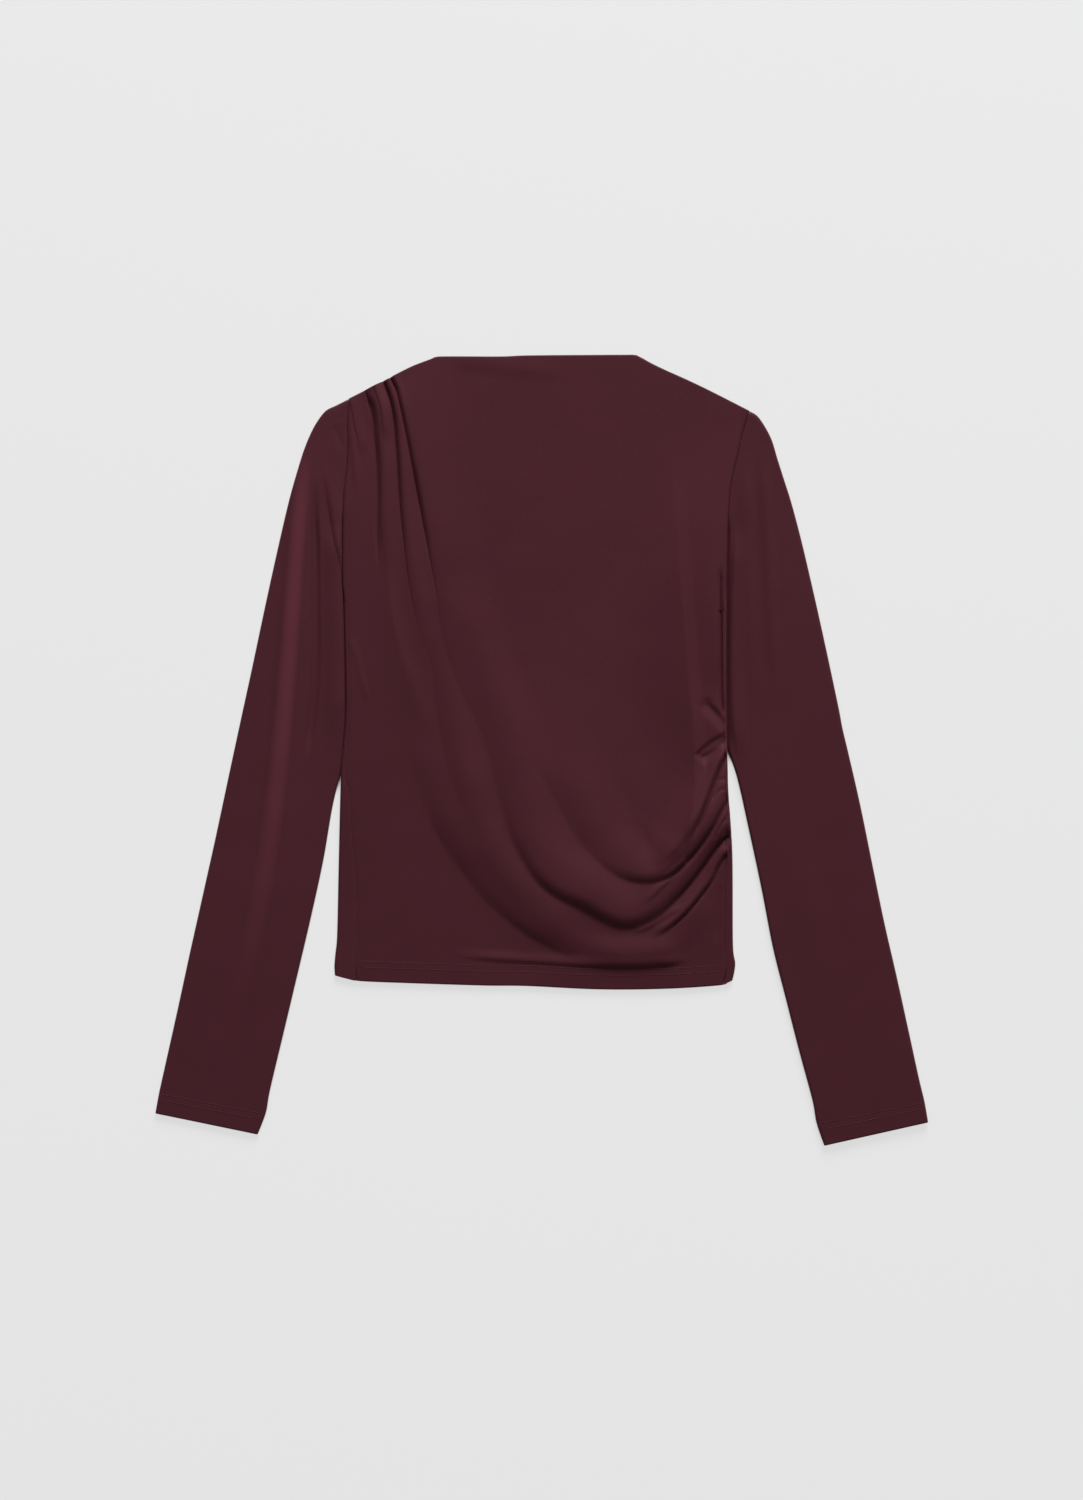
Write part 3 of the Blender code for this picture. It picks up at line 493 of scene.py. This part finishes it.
guides += [lookup(line, 1, 0) for line in PLEAT_COLUMNS]
guides += [lambda y: edge_x[LEFT](y) - seam_inset(LEFT, y)]
guide_top = []
for guide in guides:
    x = guide(340)
    for again in range(30):
        x = 0.5 * (x + guide(top_y(x)))
    guide_top.append(x)
guide_top[0], guide_top[-1] = SIDES[RIGHT][0][0], SIDES[LEFT][0][0]
guide_hem = [float(guide(-208)) for guide in guides]

# Spacing of the columns between each pair of lines, finer at each line
weights = []
for number, (first, most) in enumerate([(0.5, 1.6), (0.35, 1.9), (0.35, 1.7), (0.35, 1.9), (0.35, 1.9)]):
    across = guides[number + 1](250) - guides[number](250)
    weights.append(spread(0, across, first, most) / across)
across = guides[-1](0) - guides[-2](0)
near_pleat = spread(0, 170, 0.35, 2.3)
near_seam = spread(170, across, 0.5, 1.45)
weights.append(np.concatenate([near_pleat[:-1], near_seam[near_seam > 169], [across]]) / across)
columns = []
for number, share in enumerate(weights):
    share = np.unique(np.round(share, 5))
    columns += [(number, w) for w in share[:-1]]
columns.append((len(weights) - 1, 1.0))

# Spacing of the rows up from the hem, finer where the stitches and the underarm come
BODY_LENGTH = 565
rows = np.concatenate([
    [0, 0.3, 0.7, 1.3, 2.2, 3.5], np.arange(5.5, 16.5, 2.2), np.arange(16.9, 19.2, 0.45),
    np.arange(20.5, 215, 1.75), np.arange(216, 260, 2.2), np.arange(262, 340, 4),
    np.arange(341, 354, 0.7), np.arange(357, BODY_LENGTH - 6, 4),
    BODY_LENGTH - np.array([4.2, 2.6, 1.5, 0.8, 0.35, 0]),
])
grid_x, grid_y = [], []
for up in rows:
    row_x, row_y = [], []
    for number, w in columns:
        x_top = (1 - w) * guide_top[number] + w * guide_top[number + 1]
        x_hem = (1 - w) * guide_hem[number] + w * guide_hem[number + 1]
        length = top_y(x_top) - hem_y(x_hem)
        y = hem_y(x_hem) + up * (1 + (length / BODY_LENGTH - 1) * (up / BODY_LENGTH) ** 2)
        row_x.append((1 - w) * guides[number](y) + w * guides[number + 1](y))
        row_y.append(y)
    grid_x.append(row_x)
    grid_y.append(row_y)
grid_x, grid_y = np.array(grid_x), np.array(grid_y)
x, y = grid_x.ravel(), grid_y.ravel()
from_seam = np.minimum(grid_x - grid_x[:, :1], grid_x[:, -1:] - grid_x).ravel()
from_end = np.minimum(grid_y - grid_y[:1], grid_y[-1:] - grid_y).ravel()

# The cloth turns down at its seams, more above the underarm than below it, and at its ends
SEAM_TURN = 2.6
END_TURN = 1.0
OVER_BACK = 1.15
LEAST_CLOTH = 0.25
below = np.where(x > 0, UNDERARM_Y[LEFT], UNDERARM_Y[RIGHT]) - y
turn_down = np.where(below < 0, 0.2 + 0.95 * step(0, 25, -below), 0.35 * step(0, 20, below))
top = body_top(x, y) - edge_turn(from_seam, SEAM_TURN, turn_down) - edge_turn(from_end, END_TURN, 0.5)
under = top - CLOTH + edge_turn(from_end, END_TURN, 0.3)
under = np.maximum(under, FRONT_LIFT * lift(x, y) + OVER_BACK)
wide, high = grid_x.shape[1], grid_x.shape[0]
corner = (np.arange(high - 1)[:, None] * wide + np.arange(wide - 1)).ravel()
quads = np.column_stack([corner, corner + 1, corner + wide + 1, corner + wide])
front = cloth_wall("front_cloth", np.column_stack([x, y, np.maximum(top, under + LEAST_CLOTH)]),
                   np.column_stack([x, y, under]), quads, np.column_stack([x, y]))
front.data.materials.append(jersey("front jersey", (0.0608, 0.0142, 0.0208), 1.3))
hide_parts("front")
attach(front, "root")

# Back: one plain cut piece of the same jersey, flat on the floor. Its cloth comes round
# both sides of the body to the side seams, and lies over the hidden edges of the sleeves.
ROW_BEND = 60
UNDERARM = 0.35
BACK_ROWS = 150


def bent_row(y, x, edge):
    """Y at x on a row that starts level at the body's edge and bends with the hem near it."""
    near_hem = 1 - step(0, ROW_BEND, y - hem_y(edge))
    return y + near_hem * (hem_y(x) - hem_y(edge))


def side_strip(side, y):
    """The back's cloth where it comes round a side, from the seam to the underside, at one row."""
    edge = edge_x[side](y)
    wrap = seam_in[side](y) - 0.5 * GAP
    inward = np.concatenate([wrap - np.array([0, 0.3, 0.7, 1.2]) * min(1, (wrap - ROLL) / 1.5),
                             np.linspace(wrap - 1.3 * min(1, (wrap - ROLL) / 1.5), ROLL, 6)[1:-1]])
    x = edge - side * inward
    at = bent_row(y, x, edge)
    z = body_top(x, at) - edge_turn(wrap - inward, 1.6, 0.35)
    outer = list(zip(x, at, z))
    inner = list(zip(x, at, z - CLOTH))
    at_roll = np.array([edge - side * ROLL])
    floor = lift(at_roll, np.array([y]))[0]
    half = 0.5 * (body_top(at_roll, np.array([y]))[0] - floor)
    for angle in np.radians([90, 70, 50, 30, 10, -10, -30, -50, -70]):
        x = edge - side * ROLL * (1 - np.cos(angle))
        outer.append((x, bent_row(y, x, edge), floor + half + half * np.sin(angle)))
        x = edge - side * (CLOTH + (ROLL - CLOTH) * (1 - np.cos(angle)))
        inner.append((x, bent_row(y, x, edge), floor + half + (half - CLOTH) * np.sin(angle)))
    return outer, inner


share = 90 / (SIDES[LEFT][0][0] - SIDES[RIGHT][0][0])
across = np.concatenate([np.linspace(0, share, 31)[:-1], np.linspace(share, 1 - share, 31),
                         np.linspace(1 - share, 1, 31)[1:]])
x_top = SIDES[RIGHT][0][0] + across * (SIDES[LEFT][0][0] - SIDES[RIGHT][0][0])
x_hem = SIDES[RIGHT][-1][0] + across * (SIDES[LEFT][-1][0] - SIDES[RIGHT][-1][0])
down_rows = np.linspace(0, 1, BACK_ROWS + 1)
down_rows[np.argmin(abs(down_rows - UNDERARM))] = UNDERARM
outer, inner, index = [], [], []
for down in down_rows:
    right_y = SIDES[RIGHT][0][1] + down * (SIDES[RIGHT][-1][1] - SIDES[RIGHT][0][1])
    left_y = SIDES[LEFT][0][1] + down * (SIDES[LEFT][-1][1] - SIDES[LEFT][0][1])
    rolled = down >= UNDERARM
    inset = ROLL if rolled else 0
    x = (edge_x[RIGHT](right_y) + inset) * (1 - across) + (edge_x[LEFT](left_y) - inset) * across
    y = (1 - down) * top_y(x_top) + down * hem_y(x_hem)
    floor = lift(x, y)
    row_outer = list(zip(x, y, floor))
    row_inner = list(zip(x, y, floor + CLOTH))
    extra = 0
    if rolled:
        right_outer, right_inner = side_strip(RIGHT, right_y)
        left_outer, left_inner = side_strip(LEFT, left_y)
        extra = len(right_outer)
        row_outer = right_outer + row_outer + left_outer[::-1]
        row_inner = right_inner + row_inner + left_inner[::-1]
    start = len(outer)
    index.append({k - extra: start + k for k in range(len(row_outer))})
    outer += row_outer
    inner += row_inner
quads = []
for upper, lower in zip(index[:-1], index[1:]):
    for k in upper:
        if k + 1 in upper and k in lower and k + 1 in lower:
            quads.append((upper[k], upper[k + 1], lower[k + 1], lower[k]))
used = np.unique(quads)
number = np.full(len(outer), -1)
number[used] = np.arange(len(used))
outer, inner = np.array(outer)[used], np.array(inner)[used]
back = cloth_wall("back_cloth", outer, inner, number[np.array(quads)], outer[:, :2])
back.data.materials.append(jersey("back jersey", (0.0603, 0.0142, 0.0206), 4.1))
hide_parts("back")
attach(back, "root")

# Sleeves: one cut piece each, sewn into a tube along the underarm and into the armhole,
# and laid flat beside the body with their upper inner edges under it. Each has a long
# soft fold where the cloth turns, and a twin-needle hem at the cuff.
SLEEVE_AIR = {RIGHT: 1.6, LEFT: 2.8}
SLEEVE_SOFTNESS = 0.1
SEAM_ENDS = {RIGHT: 199, LEFT: 193}
SEAM_GAP = 0.12
TUCKED_BY = 7
TUCKED_IN = 1.0
COLUMNS_ACROSS = 84
FLAT_START = 20
FLAT_LENGTH = 250
FLAT_FADE = 40
FOLDS_START = {RIGHT: (0.1, 1.6), LEFT: (0.4, 3.8)}
CUFF_RISE = 0.1
CUFF_DEPTH = 18

# Each row is a section from the armhole to the cuff: the outer fold, the underarm seam,
# and how much of the armhole's own curve the section still has
SECTIONS = {
    RIGHT: [
        (-174, 315.5, -152.5, 130, 1.0), (-185, 310, -151.5, 124.5, 0.93), (-194, 305.5, -150, 119, 0.85),
        (-201, 297, -149.5, 113.5, 0.75), (-207, 286.5, -149, 108, 0.64), (-213.5, 271, -149, 103, 0.52),
        (-219.5, 252, -149, 97, 0.38), (-227.5, 223.5, -150, 90, 0.2), (-238, 178.5, -153.5, 77.5, 0.06),
        (-249.5, 126, -159, 56, 0), (-260.5, 74, -166, 31, 0), (-271.5, 23.5, -174.5, 0, 0),
        (-281.5, -23, -187, -45, 0), (-293, -77, -196.5, -99, 0), (-305, -131, -208, -152, 0),
        (-316.5, -182.5, -220, -203, 0), (-328, -235.5, -232.5, -255.5, 0), (-339.5, -287, -244.5, -306, 0),
        (-344, -307.5, -248, -325.5, 0), (-347.5, -326.5, -255.5, -345.5, 0),
    ],
    LEFT: [
        (187.4, 304.6, 140, 138, 1.0), (194, 300.5, 139.5, 132.5, 0.93), (201, 290.5, 140, 127, 0.85),
        (207, 278.5, 140.5, 121.5, 0.75), (212, 262, 142, 116.5, 0.64), (218, 243, 143.5, 111, 0.52),
        (224.5, 222.5, 145, 104.5, 0.38), (233.5, 188.5, 148.5, 92, 0.2), (243.5, 146, 152.5, 74, 0.06),
        (254, 99, 157.5, 54, 0), (266.5, 40.5, 165, 20, 0), (270.5, 19.5, 166.2, 3, 0),
        (275.5, -1.5, 175.5, -24, 0), (286.5, -49.5, 186.5, -72.5, 0), (297.5, -103.5, 198, -126.5, 0),
        (308, -154.5, 208, -178, 0),
        (319, -202.5, 220, -225.5, 0), (329, -248, 231.5, -270.5, 0), (339, -294, 243.5, -315, 0),
        (344, -315, 247, -334.5, 0), (347.5, -334.5, 254, -355.5, 0),
    ],
}

# The curve of each sleeve's hidden edge under the body, which carries on from the armhole
SLEEVE_SEAMS = {
    RIGHT: [(-175, 170), (-166, 147), (-152.5, 130), (-151.5, 124.5), (-150, 119), (-149.5, 113.5),
            (-149, 108), (-149, 103), (-149, 97), (-150, 90), (-153.5, 77.5), (-159, 56), (-166, 31),
            (-174.5, 0), (-187, -45)],
    LEFT: [(162.5, 170), (152, 151), (140, 138), (139.5, 132.5), (140, 127), (140.5, 121.5),
           (142, 116.5), (143.5, 111), (145, 104.5), (148.5, 92), (152.5, 74), (157.5, 54),
           (165, 20), (166.2, 3), (175.5, -24)],
}

# Soft rolls, and one crease beside the right sleeve's pressed fold
SLEEVE_ROLLS = {
    RIGHT: [
        (3.0, 24, 20, 90, 180, [(-205, 297), (-209, 262), (-213.5, 221), (-218.5, 154), (-224, 83),
                                (-231, -2.5), (-241, -83.5), (-252.5, -145.5), (-265, -202.5),
                                (-281.5, -265.5), (-295, -301)]),
        (2.5, 12, 16, 30, 60, [(-187, 207), (-184, 135), (-183.5, 63), (-187, -9)]),
        (-4.0, 6, 4, 60, 50, [(-205, 247), (-204.3, 189), (-204, 135), (-204, 81), (-206, 45), (-208.5, 18),
                              (-212, -9)]),
        (-0.7, 3, 3, 4, 6, [(-187, 292.5), (-183.5, 283), (-179, 270)]),
    ],
    LEFT: [
        (2.8, 14, 5, 40, 45, [(177, 205), (173.5, 165), (172, 120), (172, 60), (174, 15), (180, -15)]),
        (1.6, 9, 12, 60, 80, [(184, 279), (185, 225), (185.5, 171), (187.5, 99), (190, 40)]),
        (1.4, 9, 9, 60, 80, [(198.5, 279), (201, 225), (204.5, 171), (207.5, 99), (212, 30)]),
        (0.8, 22, 26, 60, 60, [(222, -60), (239, -130), (250, -190), (256, -240)]),
    ],
}
SLEEVE_LAPS = {
    RIGHT: [(2.0, 20, 5, 50, 5, [(-198.5, 262), (-196, 243), (-192.5, 220.5), (-188, 193.5),
                                 (-181.5, 166.5), (-177, 148.5)])],
    LEFT: [],
}


def sleeve_height(side, x, y):
    """Height of a sleeve's outer surface, flat where it goes in under the body."""
    relief = SLEEVE_AIR[side] + fold_height(soft, SLEEVE_ROLLS[side], x, y)
    relief += unevenness(x, y, 5 + side, 0.1, 80)
    relief += fold_height(lap, SLEEVE_LAPS[side], x, y)
    relief = above_nothing(relief, SLEEVE_SOFTNESS)
    beside = step(*FOLDS_START[side], (x - edge_x[side](y)) * side)
    top = SEAM_ENDS[side]
    bottom = top - FLAT_LENGTH
    covered = (1 - step(top, top + FLAT_START, y)) * step(bottom - FLAT_FADE, bottom, y)
    return TWO_LAYERS + relief * (1 - covered * (1 - beside))


def make_sleeve(name, side):
    """A flattened tube: a closed ring of points round each section, outside and inside."""
    given = np.array(SECTIONS[side], float)
    armhole = [(edge_x[side](y) + side * SEAM_GAP, y)
               for y in np.linspace(given[0][1], SEAM_ENDS[side], 12)]
    going_under = SEAM_ENDS[side] - TUCKED_BY
    armhole.append((edge_x[side](going_under) - side * TUCKED_IN, going_under))
    seam = smooth_curve(armhole + SLEEVE_SEAMS[side][:3], 2)
    seam_at = np.concatenate([[0], np.cumsum(np.linalg.norm(np.diff(seam, axis=0), axis=1))])
    seam_at /= seam_at[-1]
    straight = seam[0] + (seam[-1] - seam[0]) * seam_at[:, None]
    fine = smooth_curve(given, 1)
    run = np.concatenate([[0], np.cumsum(np.linalg.norm(np.diff(fine[:, :2], axis=0), axis=1))])
    length = run[-1]
    stations = np.concatenate([
        [0, 0.3, 0.7, 1.2, 1.9, 3], np.arange(5, 60, 3), np.arange(60, length - 21, 4.2),
        length - np.array([20, 19, 18.2, 17.4, 16.6, 14, 11, 8, 5, 3, 1.6, 0.8, 0.3, 0]),
    ])
    sections = np.column_stack([np.interp(stations, run, fine[:, k]) for k in range(5)])
    angles = np.radians([0, 15, 30, 45, 60, 75, 90])
    outer, inner, flat = [], [], []
    for station, (start_x, start_y, end_x, end_y, bow) in zip(stations, sections):
        start, end = np.array([start_x, start_y]), np.array([end_x, end_y])
        width = np.linalg.norm(end - start)
        roll = ROLL * (1 - np.cos(angles))
        middle = np.linspace(ROLL, width - ROLL, COLUMNS_ACROSS)[1:-1]
        inward = np.concatenate([roll, middle, width - roll[::-1]])
        turn = np.sin(np.concatenate([angles, np.full(len(middle), np.pi / 2), angles[::-1]]))
        around = np.concatenate([inward, 2 * width - inward[-2:0:-1]])
        inward = np.concatenate([inward, inward[-2:0:-1]])
        turn = np.concatenate([turn, -turn[-2:0:-1]])
        hem = CUFF_RISE * step(length - CUFF_DEPTH, length - CUFF_DEPTH + 1.2, station)
        edge = edge_turn(min(station, 99), 1.6, 0.35) + edge_turn(length - station, 1.0, 0.45)
        for away, points in ((0, outer), (CLOTH, inner)):
            along = (away + (width - 2 * away) * inward / width) / width
            curve = np.column_stack([np.interp(along, seam_at, seam[:, k] - straight[:, k])
                                     for k in (0, 1)])
            place = start + (end - start) * along[:, None] + bow * curve
            height = sleeve_height(side, place[:, 0], place[:, 1]) + hem - edge
            z = 0.5 * height + (0.5 * height - away) * turn
            points += list(np.column_stack([place, z]))
        flat += list(np.column_stack([around, np.full(len(around), -station)]))
    ring = len(inward)
    row = np.arange(len(stations) - 1)[:, None] * ring
    k = np.arange(ring)
    a, b = (row + k).ravel(), (row + (k + 1) % ring).ravel()
    quads = np.column_stack([a, b, b + ring, a + ring])
    quads = quads if side == LEFT else quads[:, ::-1]
    return cloth_wall(name, np.array(outer), np.array(inner), quads, np.array(flat))


sleeve_right = make_sleeve("sleeve_right_cloth", RIGHT)
# The line of the painted highlight in the right sleeve's colour, along its long fold
painted_highlight_line = [(-211, 285), (-218.5, 207), (-223, 135), (-231, 45), (-244.5, -83.5), (-255, -145.5),
                (-268, -202), (-284, -265), (-296, -301)]
sleeve_right.data.materials.append(
    jersey("right sleeve jersey", (0.0612, 0.0144, 0.0211), 7.7, painted_highlight_line))
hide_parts("sleeve_right")
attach(sleeve_right, "root")
sleeve_left = make_sleeve("sleeve_left_cloth", LEFT)
sleeve_left.data.materials.append(jersey("left sleeve jersey", (0.0602, 0.0141, 0.0205), 9.2))
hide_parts("sleeve_left")
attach(sleeve_left, "root")

# Stitches: two rows at the front's hem and at each cuff, sewn with a twin needle in
# thread of the cloth's own colour. One stitch is modelled and copied along each row.
STITCH_LENGTH = 2.7
STITCH_PITCH = 3.3
THREAD = 0.24
THREAD_RISE = 0.06
HEM_ROWS = (18.3, 12.8)
HEM_ENDS = (-162, 161)
CUFF_ROWS = (0.93, 0.66)
CUFF_ENDS = (0.03, 0.97)

ends = np.radians(np.linspace(-90, 90, 6))
round_it = np.radians(np.arange(0, 360, 60))
stitch_points = np.array([(0.5 * STITCH_LENGTH * np.sin(e), THREAD * np.cos(e) ** 0.6 * np.cos(a),
                           THREAD * np.cos(e) ** 0.6 * np.sin(a)) for e in ends for a in round_it])
stitch_quads = np.array([(6 * k + n, 6 * k + (n + 1) % 6, 6 * k + 6 + (n + 1) % 6, 6 * k + 6 + n)
                         for k in range(len(ends) - 1) for n in range(6)])

thread = bpy.data.materials.new("burgundy thread")
thread.use_nodes = True
twist = thread.node_tree.nodes.new("ShaderNodeTexNoise")
twist.inputs["Scale"].default_value = 2500
shades = thread.node_tree.nodes.new("ShaderNodeMix")
shades.data_type = "RGBA"
shades.inputs["A"].default_value = (0.06, 0.014, 0.0205, 1)
shades.inputs["B"].default_value = (0.1, 0.025, 0.036, 1)
thread.node_tree.links.new(twist.outputs["Fac"], shades.inputs["Factor"])
shader = thread.node_tree.nodes["Principled BSDF"]
thread.node_tree.links.new(shades.outputs["Result"], shader.inputs["Base Color"])
shader.inputs["Roughness"].default_value = 0.45
shader.inputs["Specular IOR Level"].default_value = 0.2


def sew(name, lines):
    """Rows of stitches along lines given as points with their height."""
    points, faces = [], []
    for line in lines:
        run = np.concatenate([[0], np.cumsum(np.linalg.norm(np.diff(line[:, :2], axis=0), axis=1))])
        for place in np.arange(0.5 * STITCH_PITCH, run[-1] - 0.5 * STITCH_PITCH, STITCH_PITCH):
            middle, tip = [np.array([np.interp(at, run, line[:, k]) for k in range(3)])
                           for at in (place, place + 0.5 * STITCH_LENGTH)]
            ahead = (tip - middle) / np.linalg.norm(tip - middle)
            aside = np.array([-ahead[1], ahead[0], 0]) / np.hypot(ahead[0], ahead[1])
            frame_of_it = np.array([ahead, aside, np.cross(ahead, aside)])
            faces.append(stitch_quads + len(points) * len(stitch_points))
            points.append(middle + stitch_points @ frame_of_it)
    mesh = bpy.data.meshes.new(name)
    mesh.from_pydata(np.concatenate(points) * MM, [], np.concatenate(faces).tolist())
    mesh.shade_smooth()
    mesh.materials.append(thread)
    row = bpy.data.objects.new(name, mesh)
    bpy.context.collection.objects.link(row)
    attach(row, "root")
    return row


rows_of_hem = []
for up in HEM_ROWS:
    x = np.linspace(*HEM_ENDS, 180)
    y = hem_y(x) + up
    rows_of_hem.append(np.column_stack([x, y, body_top(x, y) + THREAD_RISE]))
sew("hem_stitches", rows_of_hem)
for side, name, slot in ((RIGHT, "cuff_stitches_right", "jersey_sleeve_right"),
                         (LEFT, "cuff_stitches_left", "jersey_sleeve_left")):
    above_cuff, cuff = np.array(SECTIONS[side][-2:])[:, :4]
    rows_of_cuff = []
    for share in CUFF_ROWS:
        ends_x, ends_y = np.array(cuff + share * (above_cuff - cuff)).reshape(2, 2).T
        across_it = np.linspace(*CUFF_ENDS, 60)
        x = ends_x[0] + across_it * (ends_x[1] - ends_x[0])
        y = ends_y[0] + across_it * (ends_y[1] - ends_y[0])
        height = sleeve_height(side, x, y) + CUFF_RISE + THREAD_RISE
        rows_of_cuff.append(np.column_stack([x, y, height]))
    sew(name, rows_of_cuff)

# Light table: a pale sheet, lit from below as well, so that shadows on it stay faint. Its glow is dimmed
# where cloth lies close over it or beside it: painted shade on the sheet round and under the cloth, which
# also keeps light from coming up through the seams.
bpy.ops.mesh.primitive_plane_add(size=12, location=(0, 0, -0.0002))
floor = bpy.context.object
floor.name = "light table"
pale = bpy.data.materials.new("pale sheet")
pale.use_nodes = True
shader = pale.node_tree.nodes["Principled BSDF"]
shader.inputs["Base Color"].default_value = (0.13, 0.13, 0.13, 1)
shader.inputs["Roughness"].default_value = 0.9
shader.inputs["Specular IOR Level"].default_value = 0
shader.inputs["Emission Color"].default_value = (1, 1, 1, 1)
# The glow follows ambient occlusion: painted shade on the sheet close to the cloth
painted_shade_ao = pale.node_tree.nodes.new("ShaderNodeAmbientOcclusion")
painted_shade_ao.inputs["Distance"].default_value = 0.006
glow = pale.node_tree.nodes.new("ShaderNodeMapRange")
glow.inputs["From Min"].default_value = 0.33
glow.inputs["From Max"].default_value = 0.6
glow.inputs["To Max"].default_value = 0.675
pale.node_tree.links.new(painted_shade_ao.outputs["AO"], glow.inputs["Value"])
pale.node_tree.links.new(glow.outputs["Result"], shader.inputs["Emission Strength"])
floor.data.materials.append(pale)

# Studio light: a large soft light beyond the neck and a little to the right, and a dim room
SKY = 0.25
LIGHT_AWAY = 6.3
LIGHT_UP = 26
LIGHT_ASIDE = 10
LIGHT_WIDTH = 3.1
LIGHT_POWER = 655
up, aside = np.radians([LIGHT_UP, LIGHT_ASIDE])
place = LIGHT_AWAY * np.array([np.cos(up) * np.sin(aside), np.cos(up) * np.cos(aside), np.sin(up)])
bpy.ops.object.light_add(type="AREA", location=place, rotation=(up - np.pi / 2, 0, -aside))
light = bpy.context.object
light.name = "large soft light"
light.data.shape = "DISK"
light.data.size = LIGHT_WIDTH
light.data.energy = LIGHT_POWER
world = bpy.data.worlds.new("studio")
bpy.context.scene.world = world
world.use_nodes = True
world.node_tree.nodes["Background"].inputs["Color"].default_value = (1, 1, 1, 1)
world.node_tree.nodes["Background"].inputs["Strength"].default_value = SKY
bpy.context.scene.view_settings.view_transform = "Standard"
